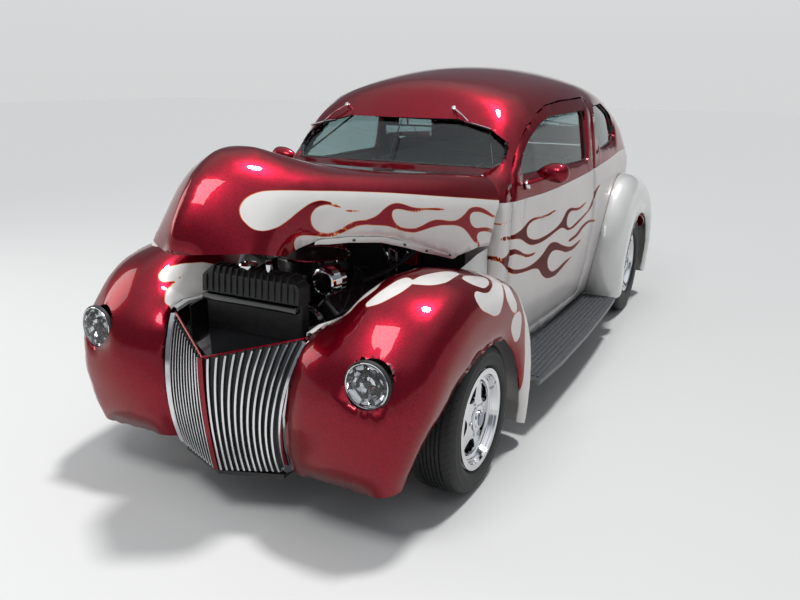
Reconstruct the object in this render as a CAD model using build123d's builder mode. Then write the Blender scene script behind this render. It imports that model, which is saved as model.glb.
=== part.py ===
from build123d import *
import os
from math import atan2, cos, degrees, radians, sin, sqrt

os.makedirs("parts", exist_ok=True)

# A two-door hot rod sedan with its hood propped open. Millimetres; the floor is Z 0.
# X is across the car, positive to its left, Y runs from nose to tail, Z is up.
# Lengthwise places are stations: the distance behind the front axle.

# Driving dimensions
wheelbase = 2845
front_axle_y = -1557  # puts the middle of the whole car's box at Y 0
front_tyre = {"radius": 308, "width": 195, "centre_x": 730, "rim": 207, "bead": 190}
rear_tyre = {"radius": 348, "width": 235, "centre_x": 700, "rim": 207, "bead": 190}
kingpin_x = 600
body_wall = 45
panel_wall = 8
shut_gap = 8
hood_open_angle = 17
hood_hinge = (550, 1206)  # station, height
front_hub = (0, 308)
rear_hub = (wheelbase, 348)


def at(station):
    """Y of a station."""
    return front_axle_y + station


def save(solid, name):
    solid.label = name
    export_step(solid, f"parts/{name}.step")


def both_sides(left):
    """A left-hand piece and its mirror image as one piece."""
    return joined(left, mirror(left, about=Plane.YZ))


def save_pair(left, stem):
    """A left-hand piece and its mirror image."""
    save(left, f"{stem}_left")
    save(mirror(left, about=Plane.YZ), f"{stem}_right")


# Outlines made of arcs. An arc is (start, end, heading at its start).


def unit(v):
    return v * (1 / v.length)


def heading(angle):
    return Vector(cos(radians(angle)), sin(radians(angle)))


def last_heading(arc):
    start, end, tangent = arc
    chord = unit(end - start)
    return chord * (2 * tangent.dot(chord)) - tangent


def draw_arcs(arcs):
    for start, end, tangent in arcs:
        chord = unit(end - start)
        if abs(tangent.cross(chord).Z) < 1e-5:
            Line(start, end)
        else:
            rise = unit(tangent + chord)
            ThreePointArc(start, start + rise * ((end - start).length / 2 / rise.dot(chord)), end)


def biarc(start, start_angle, end, end_angle, ratio=1.0):
    """Two tangent arcs between two points with given headings; ratio sets their shares."""
    a, b = heading(start_angle), heading(end_angle)
    v = end - start
    quad = 2 * ratio * (a.dot(b) - 1)
    lin = -2 * v.dot(a * ratio + b)
    const = v.dot(v)
    if abs(quad) < 1e-9:
        reach = -const / lin
    else:
        reach = (-lin - sqrt(lin * lin - 4 * quad * const)) / (2 * quad)
    joint = ((start + a * (ratio * reach)) * reach + (end - b * reach) * (ratio * reach)) * (
        1 / (reach + ratio * reach)
    )
    first = (start, joint, a)
    return [first, (joint, end, last_heading(first))]


def swing_plane(hub, angle):
    """The plane through the car's width and a ray from hub; 0 points to the tail, 90 straight up."""
    return Plane(
        origin=(0, at(hub[0]), hub[1]),
        x_dir=(1, 0, 0),
        z_dir=(0, -sin(radians(angle)), cos(radians(angle))),
    )


def side_prism(points, radius, near, far):
    """A rounded outline in the side view (station, z), pushed across from x near to x far."""
    with BuildPart() as prism:
        with BuildSketch(Plane.YZ.offset(near)):
            with BuildLine():
                FilletPolyline(*[(at(s), z) for s, z in points], radius=radius, close=True)
            make_face()
        extrude(amount=far - near)
    return prism.part


def front_prism(half, radius, first, last, margin=0):
    """A rounded outline in the front view, its left half given (x, z), pushed along the car."""
    full = grown(half + [(-x, z) for x, z in reversed(half)], margin)
    with BuildPart() as prism:
        with BuildSketch(Plane.XZ.offset(-at(last))):
            with BuildLine():
                FilletPolyline(*full, radius=radius, close=True)
            make_face()
        extrude(amount=last - first)
    return prism.part


def block(x0, x1, s0, s1, z0, z1, round_edges=0):
    """A box between two x, two stations and two heights."""
    with BuildPart() as box:
        with BuildSketch(Plane.XY.offset(z0)):
            with Locations(((x0 + x1) / 2, at((s0 + s1) / 2))):
                Rectangle(x1 - x0, s1 - s0)
        extrude(amount=z1 - z0)
        if round_edges:
            fillet(box.edges(), radius=round_edges)
    return box.part


def pipe(points, radius, bend):
    """A round bar along points (x, station, z), with rounded corners."""
    places = [(x, at(s), z) for x, s, z in points]
    with BuildPart() as bar:
        with BuildLine() as path:
            if len(places) > 2:
                FilletPolyline(*places, radius=bend)
            else:
                Line(*places)
        with BuildSketch(Plane(origin=path.line @ 0, z_dir=path.line % 0)):
            Circle(radius)
        sweep()
    return bar.part


def drum(axis_point, axis, radius, length):
    """A cylinder from (x, station, z) along an axis."""
    x, s, z = axis_point
    with BuildPart() as cylinder:
        with BuildSketch(Plane(origin=(x, at(s), z), z_dir=axis)):
            Circle(radius)
        extrude(amount=length)
    return cylinder.part


def cut(solid, *tools):
    with BuildPart() as result:
        add(solid)
        for tool in tools:
            add(tool, mode=Mode.SUBTRACT)
    return result.part


def common(solid, tool):
    with BuildPart() as result:
        add(solid)
        add(tool, mode=Mode.INTERSECT)
    return result.part


def joined(*solids):
    with BuildPart() as result:
        for solid in solids:
            add(solid)
    return result.part


def grown(points, amount):
    """The same closed outline with every side moved outwards."""
    corners = [Vector(*p) for p in points]
    area = sum(a.cross(b).Z for a, b in zip(corners, corners[1:] + corners[:1]))
    push = amount if area < 0 else -amount
    result = []
    for before, corner, after in zip(corners[-1:] + corners[:-1], corners, corners[1:] + corners[:1]):
        a, b = unit(corner - before), unit(after - corner)
        bisector = Vector(-(a.Y + b.Y), a.X + b.X)
        moved = corner + bisector * (push * 2 / bisector.dot(bisector))
        result.append((moved.X, moved.Y))
    return result


# Cab: sections across the car, from the cowl to the tail
# station, sill x, sill z, side bulge, belt x, belt z, lean, side top z, roof z
cab_table = [
    (560, 590, 290, 18, 655, 1075, 24, 1092, 1207),
    (700, 606, 290, 20, 655, 1080, 18, 1104, 1228),
    (800, 612, 290, 22, 658, 1085, 14, 1180, 1378),
    (900, 618, 288, 24, 662, 1086, 12, 1262, 1520),
    (1060, 626, 286, 28, 674, 1088, 10, 1340, 1612),
    (1400, 646, 282, 34, 698, 1090, 9, 1378, 1664),
    (1920, 662, 280, 38, 727, 1096, 9, 1388, 1682),
    (2420, 655, 285, 36, 722, 1104, 11, 1350, 1650),
    (2880, 628, 295, 30, 696, 1104, 15, 1262, 1545),
    (3240, 592, 310, 26, 652, 1062, 20, 1130, 1378),
    (3540, 524, 330, 22, 582, 950, 26, 985, 1160),
    (3750, 436, 350, 16, 488, 770, 30, 795, 915),
    (3850, 340, 380, 12, 375, 610, 34, 630, 715),
]
hollow_middle = 2150
roof_share = 0.55  # how much of the roof's half width the shoulder's arc takes


def flip(p):
    return Vector(-p.X, p.Y)


def draw_cab_section(row, inset):
    """One closed cross-section of the cab."""
    _, sill_x, sill_z, bulge, belt_x, belt_z, lean, side_z, roof_z = row
    sill = Vector(sill_x - inset, sill_z + inset)
    belt = Vector(belt_x - inset, belt_z)
    waist = (sill + belt) * 0.5 + unit(Vector((belt - sill).Y, -(belt - sill).X)) * bulge
    side_top = belt + heading(90 + lean) * ((side_z - belt_z) / cos(radians(lean)))
    apex = Vector(0, roof_z - inset)
    Line(flip(sill), sill)
    ThreePointArc(sill, waist, belt)
    Line(belt, side_top)
    draw_arcs(biarc(side_top, 90 + lean, apex, 180, roof_share))
    draw_arcs(biarc(apex, 180, flip(side_top), 270 - lean, 1 / roof_share))
    Line(flip(side_top), flip(belt))
    ThreePointArc(flip(belt), flip(waist), flip(sill))


def cab_form(inset):
    """The cab's outer form, or the same form set in all round, lofted in three lengths."""
    shrink = 1 - inset / 1650
    lengths = []
    for rows in (cab_table[:5], cab_table[4:9], cab_table[8:]):
        with BuildPart() as form:
            for row in rows:
                station = hollow_middle + (row[0] - hollow_middle) * shrink
                with BuildSketch(Plane.XZ.offset(-at(station))):
                    with BuildLine():
                        draw_cab_section(row, inset)
                    make_face()
            loft()
        lengths.append(form.part)
    return joined(*lengths)


# Openings in the cab, clockwise from the front bottom corner (station, z)
door_outline = [(700, 345), (700, 1050), (735, 1150), (800, 1232), (905, 1322), (1010, 1388), (1140, 1440)]
door_outline += [(1290, 1478), (1500, 1498), (1920, 1510), (1920, 345)]
door_window = [(812, 1172), (905, 1272), (1010, 1345), (1120, 1395), (1300, 1432), (1818, 1446), (1818, 1166)]
quarter_window = [(2080, 1196), (2000, 1462), (2350, 1470), (2560, 1400), (2620, 1232)]
windshield_half = [(585, 1216), (574, 1322), (466, 1390), (300, 1426)]
rear_window_half = [(330, 1262), (290, 1400)]
trunk_half = [(350, 430), (390, 1100)]
glass_middle = 20  # how far the glass lies inside the outer skin
glass_thickness = 6

outer_form = cab_form(0)
inner_form = cab_form(body_wall)
glass_band = cut(cab_form(glass_middle), cab_form(glass_middle + glass_thickness))
shell = cut(outer_form, inner_form)

far_side = 900
door_window_space = side_prism(door_window, 30, 300, far_side)
quarter_window_space = side_prism(quarter_window, 55, 300, far_side)
windshield_space = front_prism(windshield_half, 60, 500, 1150)
rear_window_space = front_prism(rear_window_half, 50, 2600, 3500)


pierced = cut(
    shell,
    both_sides(door_window_space),
    both_sides(quarter_window_space),
    windshield_space,
    rear_window_space,
)

# Floor tunnel over the gearbox and drive shaft (station, z)
tunnel_line = [(540, 200), (540, 585), (700, 585), (1150, 510), (1400, 410), (2392, 430), (2392, 200)]
tunnel_half, tunnel_wall = 160, 6
tunnel_space = side_prism(tunnel_line, 30, -tunnel_half, tunnel_half)
tunnel_half_inside = tunnel_half - tunnel_wall
tunnel_inside_line = [(s, z if z < 300 else z - tunnel_wall) for s, z in tunnel_line]
tunnel_inside = side_prism(tunnel_inside_line, 24, -tunnel_half_inside, tunnel_half_inside)
tunnel_clear = side_prism(grown(tunnel_line, 3), 32, -tunnel_half - 3, tunnel_half + 3)
tub_radius, tub_wall, tub_x = 424, 8, 470
wheel_space = both_sides(drum((tub_x, *rear_hub), (1, 0, 0), tub_radius, 500))
under_tail = block(-471, 471, 2392, 3700, 200, 530)
body = cut(
    pierced,
    both_sides(side_prism(grown(door_outline, shut_gap), 44, 300, far_side)),
    front_prism(trunk_half, 60, 3000, 4000, shut_gap),
    wheel_space,
    tunnel_space,
    under_tail,
    block(-480, 480, 500, 640, 340, 1080),
)
save(body, "body_shell")
save_pair(common(pierced, side_prism(door_outline, 36, 300, far_side)), "door")
save(common(pierced, front_prism(trunk_half, 52, 3000, 4000)), "trunk_lid")
save_pair(common(glass_band, door_window_space), "door_glass")
save(both_sides(common(glass_band, quarter_window_space)), "quarter_glass")
save(common(glass_band, windshield_space), "windshield")
save(common(glass_band, rear_window_space), "rear_glass")

# Inside the cab: floor parts, firewall, wheel tubs, seats, dashboard and steering
lining = cab_form(body_wall + 2)
tunnel = cut(tunnel_space, tunnel_inside, block(-200, 200, 400, 2500, 100, 290))
save(cut(block(-478, 478, 572, 586, 342, 1078), tunnel_clear), "firewall")
tubs = cut(
    both_sides(drum((tub_x + 1, *rear_hub), (1, 0, 0), tub_radius - 1, 400)),
    both_sides(drum((tub_x + 1 + tub_wall, *rear_hub), (1, 0, 0), tub_radius - 1 - tub_wall, 400)),
    block(-900, 900, 2300, 3400, -200, 338),
    block(-600, 600, rear_hub[0] - 50, rear_hub[0] + 50, 300, 410),
)
save(common(tubs, lining), "wheel_tubs")
trunk_floor = joined(block(-620, 620, 2394, 3690, 532, 542), block(-438, 438, 2394, 2402, 340, 534))
trunk_floor = cut(common(trunk_floor, lining), wheel_space, block(-150, 150, 2390, 2410, 300, 424))
save(joined(tunnel, trunk_floor), "floor_panels")
seat_rear_base = block(-460, 460, 1960, 2384, 345, 600, 28)
seat_rear_back = block(-460, 460, 2270, 2388, 603, 1120, 28)
seat_front_base = block(-540, 540, 1200, 1690, 345, 600, 28)
seat_front_back = block(-540, 540, 1600, 1720, 603, 1080, 28)
save(joined(cut(seat_rear_base, tunnel_clear), seat_rear_back), "rear_seat")
save(joined(cut(seat_front_base, tunnel_clear), seat_front_back), "front_seat")
save(common(block(-600, 600, 700, 800, 960, 1150, 20), lining), "dashboard")
wheel_centre, column_lean = (340, 1120, 1010), 28
column_axis = (0, cos(radians(column_lean)), sin(radians(column_lean)))
ring_plane = Plane(origin=(wheel_centre[0], at(wheel_centre[1]), wheel_centre[2]), z_dir=column_axis)
with BuildPart() as steering_wheel:
    with BuildSketch(Plane(origin=ring_plane.origin, x_dir=column_axis, z_dir=ring_plane.x_dir)):
        with Locations((0, 175)):
            Circle(13)
    revolve(axis=Axis(ring_plane.origin, column_axis))
    with BuildSketch(ring_plane.offset(-12)):
        Circle(42)
        with PolarLocations(0, 3, start_angle=30):
            with Locations((88, 0)):
                Rectangle(150, 22)
    extrude(amount=10)
    with BuildSketch(ring_plane.offset(-50)):
        Circle(24)
    extrude(amount=50)
save(steering_wheel.part, "steering_wheel")
with BuildPart() as steering_column:
    with BuildSketch(ring_plane.offset(-58)):
        Circle(24)
    extrude(amount=-250)
    with BuildSketch(ring_plane.offset(-308)):
        Circle(14)
    extrude(amount=-230)
save(cut(steering_column.part, block(-600, 600, 698, 802, 958, 1152)), "steering_column")

# Panels of one skin, lofted in short flat lengths through thin sections


def between(table, steps):
    """A table with more rows put in between its own, on a smooth curve through them."""
    rows = []
    for i in range(len(table) - 1):
        near = [table[max(0, min(len(table) - 1, i + k))] for k in (-1, 0, 1, 2)]
        for j in range(steps):
            t = j / steps
            weights = [(-t + 2 * t**2 - t**3) / 2, 1 - 2.5 * t**2 + 1.5 * t**3]
            weights += [(t + 4 * t**2 - 3 * t**3) / 2, (t**3 - t**2) / 2]
            rows.append([sum(w * value for w, value in zip(weights, column)) for column in zip(*near)])
    return rows + [table[-1]]


def skin(planes, rows, draw_side):
    """A panel through thin sections: draw_side(row, inset) gives its outer and its inner arcs."""
    with BuildPart() as panel:
        for plane, row in zip(planes, rows):
            outer, inner = draw_side(row, 0), draw_side(row, panel_wall)
            with BuildSketch(plane):
                with BuildLine():
                    draw_arcs(outer)
                    draw_arcs(inner)
                    Line(outer[0][0], inner[0][0])
                    Line(outer[-1][1], inner[-1][1])
                make_face()
        loft(ruled=True)
    return panel.part


# Hood, drawn shut: its front planes swing round a point inside the nose, the rest stand on stations.
# place (angle about the nose point, or station), edge x, edge v, side x, side v, centre v, crease;
# v is the reach from the nose point on a swung plane, and the height on the others
nose_point = (-250, 620)
nose_table = [
    (177, 250, 175, 258, 236, 441, 30),
    (150, 236, 120, 250, 210, 478, 28),
    (120, 256, 95, 272, 232, 510, 16),
    (90, 326, 100, 345, 300, 470, 0),
]
hood_table = [
    (-250, 326, 720, 345, 920, 1090, 0),
    (-60, 425, 740, 445, 955, 1106, 0),
    (240, 548, 765, 570, 1004, 1154, 0),
    (548, 626, 790, 655, 1060, 1207, 0),
]
hood_crown = 0.6  # the shoulder arc's share of the hood's half width


def hood_arcs(row, inset):
    """The left half of one hood section, from its edge to the centre line."""
    _, edge_x, edge_v, side_x, side_v, centre_v, crease = row
    edge, side = Vector(edge_x - inset, edge_v), Vector(side_x - inset, side_v)
    centre = Vector(0, centre_v - inset / cos(radians(crease)))
    rise = degrees(atan2(side.Y - edge.Y, side.X - edge.X))
    return [(edge, side, heading(rise))] + biarc(side, rise, centre, 180 - crease, hood_crown)


nose_rows, hood_rows = between(nose_table, 4)[:-1], between(hood_table, 3)
hood_planes = [swing_plane(nose_point, row[0]) for row in nose_rows]
hood_planes += [Plane.XZ.offset(-at(row[0])) for row in hood_rows]
# What lies below the hood's edge: nose corner, arch over the fender, cowl corner (station, z)
hood_edge = [(-760, 648), (-690, 662), (-560, 704), (-400, 714), (-350, 742), (-290, 786), (-190, 814)]
hood_edge += [(-60, 836), (60, 834), (200, 822), (325, 812), (460, 876), (548, 896)]
hood_waste = side_prism(hood_edge + [(700, 896), (700, 300), (-760, 300)], 24, -900, 900)
hood_shut = cut(both_sides(skin(hood_planes, nose_rows + hood_rows, hood_arcs)), hood_waste)
hood = hood_shut.rotate(Axis((0, at(hood_hinge[0]), hood_hinge[1]), (-1, 0, 0)), hood_open_angle)
save(hood, "hood")

# Fenders: skins that swing round the wheel, on planes through its axle
# angle, inner x, inner reach, inner slope, crest x, crest reach, outer x, outer reach, lip x, lip reach
front_fender_table = [
    (-24, 640, 545, 40, 715, 575, 848, 490, 836, 430),
    (12, 588, 550, 40, 695, 588, 854, 474, 845, 348),
    (48, 560, 606, 5, 655, 616, 854, 472, 846, 322),
    (66, 540, 545, 25, 632, 592, 853, 455, 845, 319),
    (84, 440, 459, 42, 600, 588, 852, 445, 844, 318),
    (120, 350, 500, 50, 550, 672, 842, 482, 828, 324),
    (138, 335, 640, 18, 530, 686, 828, 494, 808, 345),
    (156, 296, 632, 34, 512, 692, 812, 503, 786, 372),
    (189, 272, 560, 34, 470, 590, 720, 505, 694, 440),
]
rear_fender_table = [
    (-18, 480, 610, 40, 665, 632, 838, 550, 828, 430),
    (15, 530, 595, 40, 695, 632, 862, 512, 850, 394),
    (50, 590, 565, 40, 722, 614, 870, 498, 858, 370),
    (85, 620, 578, 40, 740, 628, 874, 505, 863, 362),
    (120, 620, 655, 40, 740, 702, 876, 542, 866, 375),
    (155, 620, 682, 40, 742, 720, 878, 565, 867, 405),
    (190, 640, 600, 40, 740, 655, 876, 560, 865, 450),
]


def fender_arcs(row, inset):
    """One fender section from its inner edge over the crest to the lip."""
    _, inner_x, inner_r, slope, crest_x, crest_r, outer_x, outer_r, lip_x, lip_r = row
    inner = Vector(inner_x, inner_r) + heading(slope - 90) * inset
    crest = Vector(crest_x, crest_r - inset)
    outer, lip = Vector(outer_x - inset, outer_r), Vector(lip_x - inset, lip_r)
    return biarc(inner, slope, crest, 0) + biarc(crest, 0, outer, -90) + [(outer, lip, heading(-90))]


def fender(table, hub):
    rows = between(table, 3)
    return skin([swing_plane(hub, row[0]) for row in rows], rows, fender_arcs)


# Grille: upright bars in two wings that meet at the prow. Each row: station and height at the
# centre line, then x, station and height at the outer corner.
grille_rows = [
    (-652, 186, 252, -560, 200),
    (-692, 440, 267, -598, 456),
    (-697, 651, 317, -492, 716),
]
bars_a_side = 11
bar_width, bar_depth = 9, 14


def grille_place(row, share):
    """A point of a row, share of the way from the prow to the corner."""
    centre_s, centre_z, corner_x, corner_s, corner_z = row
    s = centre_s + (corner_s - centre_s) * share
    return Vector(corner_x * share, at(s), centre_z + (corner_z - centre_z) * share)


def grille_bar(share, width, depth):
    """One upright bar, an arc through the three rows."""
    foot, middle, top = (grille_place(row, share) for row in grille_rows)
    flat_normal = unit((top - foot).cross(middle - foot))
    plane = Plane(origin=foot, x_dir=unit(flat_normal.cross(top - foot)), z_dir=flat_normal)
    points = [plane.to_local_coords(p) for p in (foot, middle, top)]
    back = Vector(depth if points[1].X < 0 else -depth, 0, 0)
    with BuildPart() as upright:
        with BuildSketch(plane):
            with BuildLine():
                ThreePointArc(*points)
                ThreePointArc(*(p + back for p in points))
                Line(points[0], points[0] + back)
                Line(points[2], points[2] + back)
            make_face()
        extrude(amount=width / 2, both=True)
    return upright.part


def grille_rail(row, height_shift):
    """A level strip behind one wing's bars, near one of the rows."""
    near, far = grille_place(row, 0), grille_place(row, 1)
    with BuildPart() as rail:
        with BuildSketch(Plane.XY.offset((near.Z + far.Z) / 2 + height_shift)):
            with BuildLine():
                edge = [(p.X, p.Y + 11 + back) for back in (0, 12) for p in (near, far)]
                Polyline(edge[0], edge[1], edge[3], edge[2], close=True)
            make_face()
        extrude(amount=14)
    return rail.part


uprights = [grille_bar((i + 0.9) / (bars_a_side + 0.9), bar_width, bar_depth) for i in range(bars_a_side)]
surround = grille_bar(1, 20, 30)
rails = [grille_rail(grille_rows[0], 40), grille_rail(grille_rows[1], 0), grille_rail(grille_rows[2], -70)]
wing = cut(joined(*uprights, surround, *rails), block(-100, 11, -900, -300, 100, 800))
save(both_sides(wing), "grille_bars")
save(grille_bar(0, 20, 30), "grille_centre")

# Headlamps: a bucket behind a round lens, let into each fender
lamp = {"x": 632, "station": -604, "z": 640, "radius": 80, "bucket_depth": 95, "lens_depth": 22}
lamp_forward = (0.05, -1, 0.06)
lamp_back = (-0.05, 1, -0.06)
lamp_place = (lamp["x"], lamp["station"], lamp["z"])
save(both_sides(joined(
    drum(lamp_place, lamp_back, lamp["radius"], lamp["lens_depth"]),
    drum(lamp_place, lamp_back, lamp["radius"] - 12, lamp["bucket_depth"]),
)), "headlamps")
lamp_pocket = joined(
    drum(lamp_place, lamp_back, lamp["radius"] + 1, lamp["bucket_depth"] + 5),
    drum(lamp_place, lamp_forward, lamp["radius"] + 1, 200),
)

# Wheels and tyres: five spokes in a deep rim
spokes = 5


def tyre(size):
    """A tyre's section turned about the axle line."""
    r, bead, half = size["radius"], size["bead"], size["width"] / 2
    side = [(half - 25, bead), (half - 25, bead + 20), (half - 5, bead + 32), (half, bead + 56)]
    side += [(half - 8, r - 26), (half - 26, r - 4)]
    return side + [(0, r)] + [(-x, reach) for x, reach in reversed(side)]


def turned(points, centre_x, hub):
    """A closed outline (along the axle, from the axle) turned about the axle line."""
    plane = Plane(origin=(centre_x, at(hub[0]), hub[1]), x_dir=(1, 0, 0), z_dir=(0, -1, 0))
    with BuildPart() as ring:
        with BuildSketch(plane):
            with BuildLine():
                Polyline(*points, close=True)
            make_face()
        revolve(axis=Axis(plane.origin, (1, 0, 0)))
    return ring.part


def wheel(size, hub):
    """A rim barrel with a hub and five spokes set deep behind its lip."""
    half, bead, lip = size["width"] / 2 - 24, size["bead"] - 0.3, size["rim"]
    barrel = turned(
        [
            (half + 8, bead - 6), (half + 8, lip), (half + 1, lip), (half + 1, bead), (-half - 1, bead),
            (-half - 1, lip), (-half - 8, lip), (-half - 8, bead - 6), (-half + 20, bead - 26),
            (half - 24, bead - 34), (half - 18, bead - 14),
        ],
        size["centre_x"], hub,
    )
    face = size["centre_x"] + half - 62
    spoke_plane = Plane(origin=(face, at(hub[0]), hub[1]), x_dir=(0, 1, 0), z_dir=(1, 0, 0))
    with BuildPart() as centre:
        with BuildSketch(spoke_plane):
            with PolarLocations(0, spokes):
                with BuildLine():
                    Polyline((20, -26), (bead - 24, -19), (bead - 24, 19), (20, 26), close=True)
                make_face()
        extrude(amount=26)
        with BuildSketch(spoke_plane.offset(-20)):
            Circle(62)
        extrude(amount=58)
        with BuildSketch(spoke_plane.offset(30)):
            Circle(36)
        extrude(amount=26)
    return joined(barrel, centre.part)


for end, size, hub in (("front", front_tyre, front_hub), ("rear", rear_tyre, rear_hub)):
    save_pair(wheel(size, hub), f"wheel_{end}")
    save_pair(turned(tyre(size), size["centre_x"], hub), f"tyre_{end}")

# Running boards, from the front fender's tail to the rear fender's toe
board_top, board_thickness, board_rib = 262, 22, 5
board_outline = [(640, 600), (862, 600), (884, 900), (890, 1400), (880, 1900), (866, 2190), (640, 2190)]
with BuildPart() as running_board:
    with BuildSketch(Plane.XY.offset(board_top - board_thickness)):
        with BuildLine():
            FilletPolyline(*[(x, at(s)) for x, s in board_outline], radius=12, close=True)
        make_face()
    extrude(amount=board_thickness)
    with BuildSketch(Plane.XY.offset(board_top)):
        for i in range(8):
            with Locations((664 + i * 25, at(1395))):
                Rectangle(13, 1500)
    extrude(amount=board_rib)
save(both_sides(running_board.part), "running_boards")

# Chassis: two rails that rise over the rear axle, with cross members
rail_x, rail_width = 345, 60
rail_line = [
    (-470, 300), (-470, 400), (380, 400), (540, 262), (2400, 262), (2600, 500), (3150, 500), (3330, 400),
    (3690, 400), (3690, 300), (3260, 300), (3080, 400), (2670, 400), (2470, 162), (490, 162), (330, 300),
]
cross_members = [(-470, 305), (-90, 305), (1150, 180), (2240, 180), (3600, 320)]
rail = side_prism(rail_line, 20, rail_x - rail_width / 2, rail_x + rail_width / 2)
crossings = [block(-rail_x, rail_x, s, s + 70, z, z + 60) for s, z in cross_members]
bumper_arm = pipe([(330, 3650, 315), (330, 3890, 315), (330, 3890, 403)], 12, 30)
save(joined(both_sides(rail), both_sides(bumper_arm), *crossings), "chassis_frame")

# Axles and knuckles
boss_radius = 22
front_beam = joined(
    drum((-kingpin_x, 0, 221), (1, 0, 0), 26, 2 * kingpin_x),
    *[drum((side * kingpin_x, 0, 190), (0, 0, 1), boss_radius, 60) for side in (-1, 1)],
)
save(front_beam, "front_axle")
save_pair(joined(
    drum((kingpin_x, 0, 252), (0, 0, 1), boss_radius, 130),
    drum((kingpin_x, 0, front_hub[1]), (1, 0, 0), 25, front_tyre["centre_x"] - kingpin_x - 16),
    drum((kingpin_x + 30, 0, front_hub[1]), (1, 0, 0), 136, 12),
), "front_knuckle")
rear_beam = joined(
    drum((-690, *rear_hub), (1, 0, 0), 38, 1380),
    drum((0, rear_hub[0] - 120, rear_hub[1]), (0, 1, 0), 118, 220),
    *[drum((side * 560, *rear_hub), (side, 0, 0), 136, 28) for side in (-1, 1)],
)
save(rear_beam, "rear_axle")

# Engine, gearbox, drive shaft, exhaust and fuel tank
engine_block = block(-170, 170, -230, 330, 385, 640, 12)
save(joined(engine_block, block(-60, 60, -240, 335, 640, 700)), "engine_block")


def bank(side):
    """One cylinder head with its rocker cover, leaning outwards."""
    head = joined(block(-70, 70, -215, 315, 0, 120, 10), block(-52, 52, -205, 305, 120, 185, 18))
    return head.rotate(Axis((0, 0, 0), (0, 1, 0)), side * 42).moved(Location((side * 118, 0, 610)))


heads = [cut(bank(side), block(-171, 171, -500, 600, 300, 641)) for side in (-1, 1)]
heads = [cut(head, block(-61, 61, -500, 600, 300, 701)) for head in heads]
save(joined(*heads), "cylinder_heads")
save(joined(
    block(-58, 58, -160, 260, 702, 790, 10),
    drum((0, 40, 786), (0, 0, 1), 60, 50),
    drum((0, 40, 832), (0, 0, 1), 158, 54),
    drum((0, 40, 886), (0, 0, 1), 12, 14),
), "intake_and_air_cleaner")
save(joined(
    drum((0, -242, 470), (0, -1, 0), 85, 34),
    drum((0, -242, 620), (0, -1, 0), 62, 34),
    drum((-175, -242, 700), (0, -1, 0), 40, 34),
    drum((175, -242, 690), (0, -1, 0), 55, 34),
), "engine_pulleys")
gearbox = joined(
    drum((0, 345, 420), (0, 1, 0), 150, 150),
    drum((0, 480, 380), (0, 1, 0), 105, 420),
)
save(common(gearbox, block(-135, 135, 340, 1000, 250, 560)), "gearbox")
shaft_start, shaft_end = Vector(0, at(910), 300), Vector(0, at(rear_hub[0] - 130), 345)
with BuildPart() as drive_shaft:
    with BuildSketch(Plane(origin=shaft_start, z_dir=shaft_end - shaft_start)):
        Circle(36)
    extrude(amount=(shaft_end - shaft_start).length)
save(drive_shaft.part, "drive_shaft")
exhaust = pipe([(236, 200, 560), (236, 420, 420), (236, 640, 130), (236, 2400, 130), (236, 3800, 150)], 25, 60)
save(both_sides(exhaust), "exhaust")
save(block(-200, 200, 3150, 3560, 240, 440, 20), "fuel_tank")
radiator_cover = common(
    side_prism([(-412, 800), (-404, 880), (-386, 906), (-334, 906), (-334, 800)], 5, -250, 250),
    front_prism([(230, 780), (230, 866), (188, 908)], 8, -430, -320),
)
save(joined(block(-230, 230, -392, -338, 410, 802, 8), radiator_cover), "radiator")
air_panel_half = [(0, -662), (278, -474), (278, -398), (0, -398)]
with BuildPart() as air_panel:
    with BuildSketch(Plane.XY.offset(644)):
        with BuildLine():
            Polyline(*[(x, at(s)) for x, s in air_panel_half], close=True)
        make_face()
        mirror(about=Plane.YZ)
    extrude(amount=6)
save(air_panel.part, "air_panel")
with BuildPart() as front_pan:
    with BuildSketch(Plane.XY.offset(164)):
        with BuildLine():
            Polyline(*[(x, at(s)) for x, s in [(0, -642), (240, -552), (240, -350), (0, -350)]], close=True)
        make_face()
        mirror(about=Plane.YZ)
    extrude(amount=16)
save(front_pan.part, "front_pan")
apron_line = [(288, -425), (330, -250), (395, -60), (422, 120), (470, 300), (520, 530)]
with BuildPart() as apron:
    with BuildSketch(Plane.XY.offset(430)):
        with BuildLine():
            FilletPolyline(*[(x, at(s)) for x, s in apron_line], radius=120)
            offset(amount=3, side=Side.BOTH)
        make_face()
    extrude(amount=305)
save(both_sides(apron.part), "engine_bay_sides")


# Fenders are trimmed where they meet the cab, the lamps and the running boards
cab_side = cab_form(-2)
tail_lamp_place = (745, 3395, 560)
tail_lamp_pocket = drum(tail_lamp_place, (0, 1, 0), 47, 120)
front_fender, rear_fender = fender(front_fender_table, front_hub), fender(rear_fender_table, rear_hub)
save(both_sides(cut(front_fender, cab_side, lamp_pocket)), "front_fenders")
save(both_sides(cut(rear_fender, cab_side, tail_lamp_pocket)), "rear_fenders")
save(both_sides(drum(tail_lamp_place, (0, 1, 0), 45, 90)), "tail_lamps")

# Rear bumper and the mirrors on the doors
save(pipe([(-690, 3600, 430), (-520, 3890, 430), (520, 3890, 430), (690, 3600, 430)], 26, 110), "rear_bumper")
mirror_middle = Vector(775, at(905), 1190)
with BuildPart() as mirror_shell:
    with BuildSketch(Plane.XY.offset(mirror_middle.Z)):
        with BuildLine():
            ThreePointArc((692, at(905)), (745, at(867)), (800, at(857)))
            ThreePointArc((800, at(857)), (838, at(871)), (852, at(905)))
            Line((852, at(905)), (692, at(905)))
        make_face()
    revolve(axis=Axis(mirror_middle, (1, 0, 0)))
stem = pipe([(640, 880, 1130), (760, 900, 1175)], 11, 0)
mirror_glass_side = block(600, 900, 917, 1000, 1100, 1300)
save_pair(cut(joined(mirror_shell.part, stem), mirror_glass_side, cab_form(-1)), "mirror")
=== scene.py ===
import bpy
import bmesh
import math
import numpy as np
from mathutils import Matrix, Vector


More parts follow.
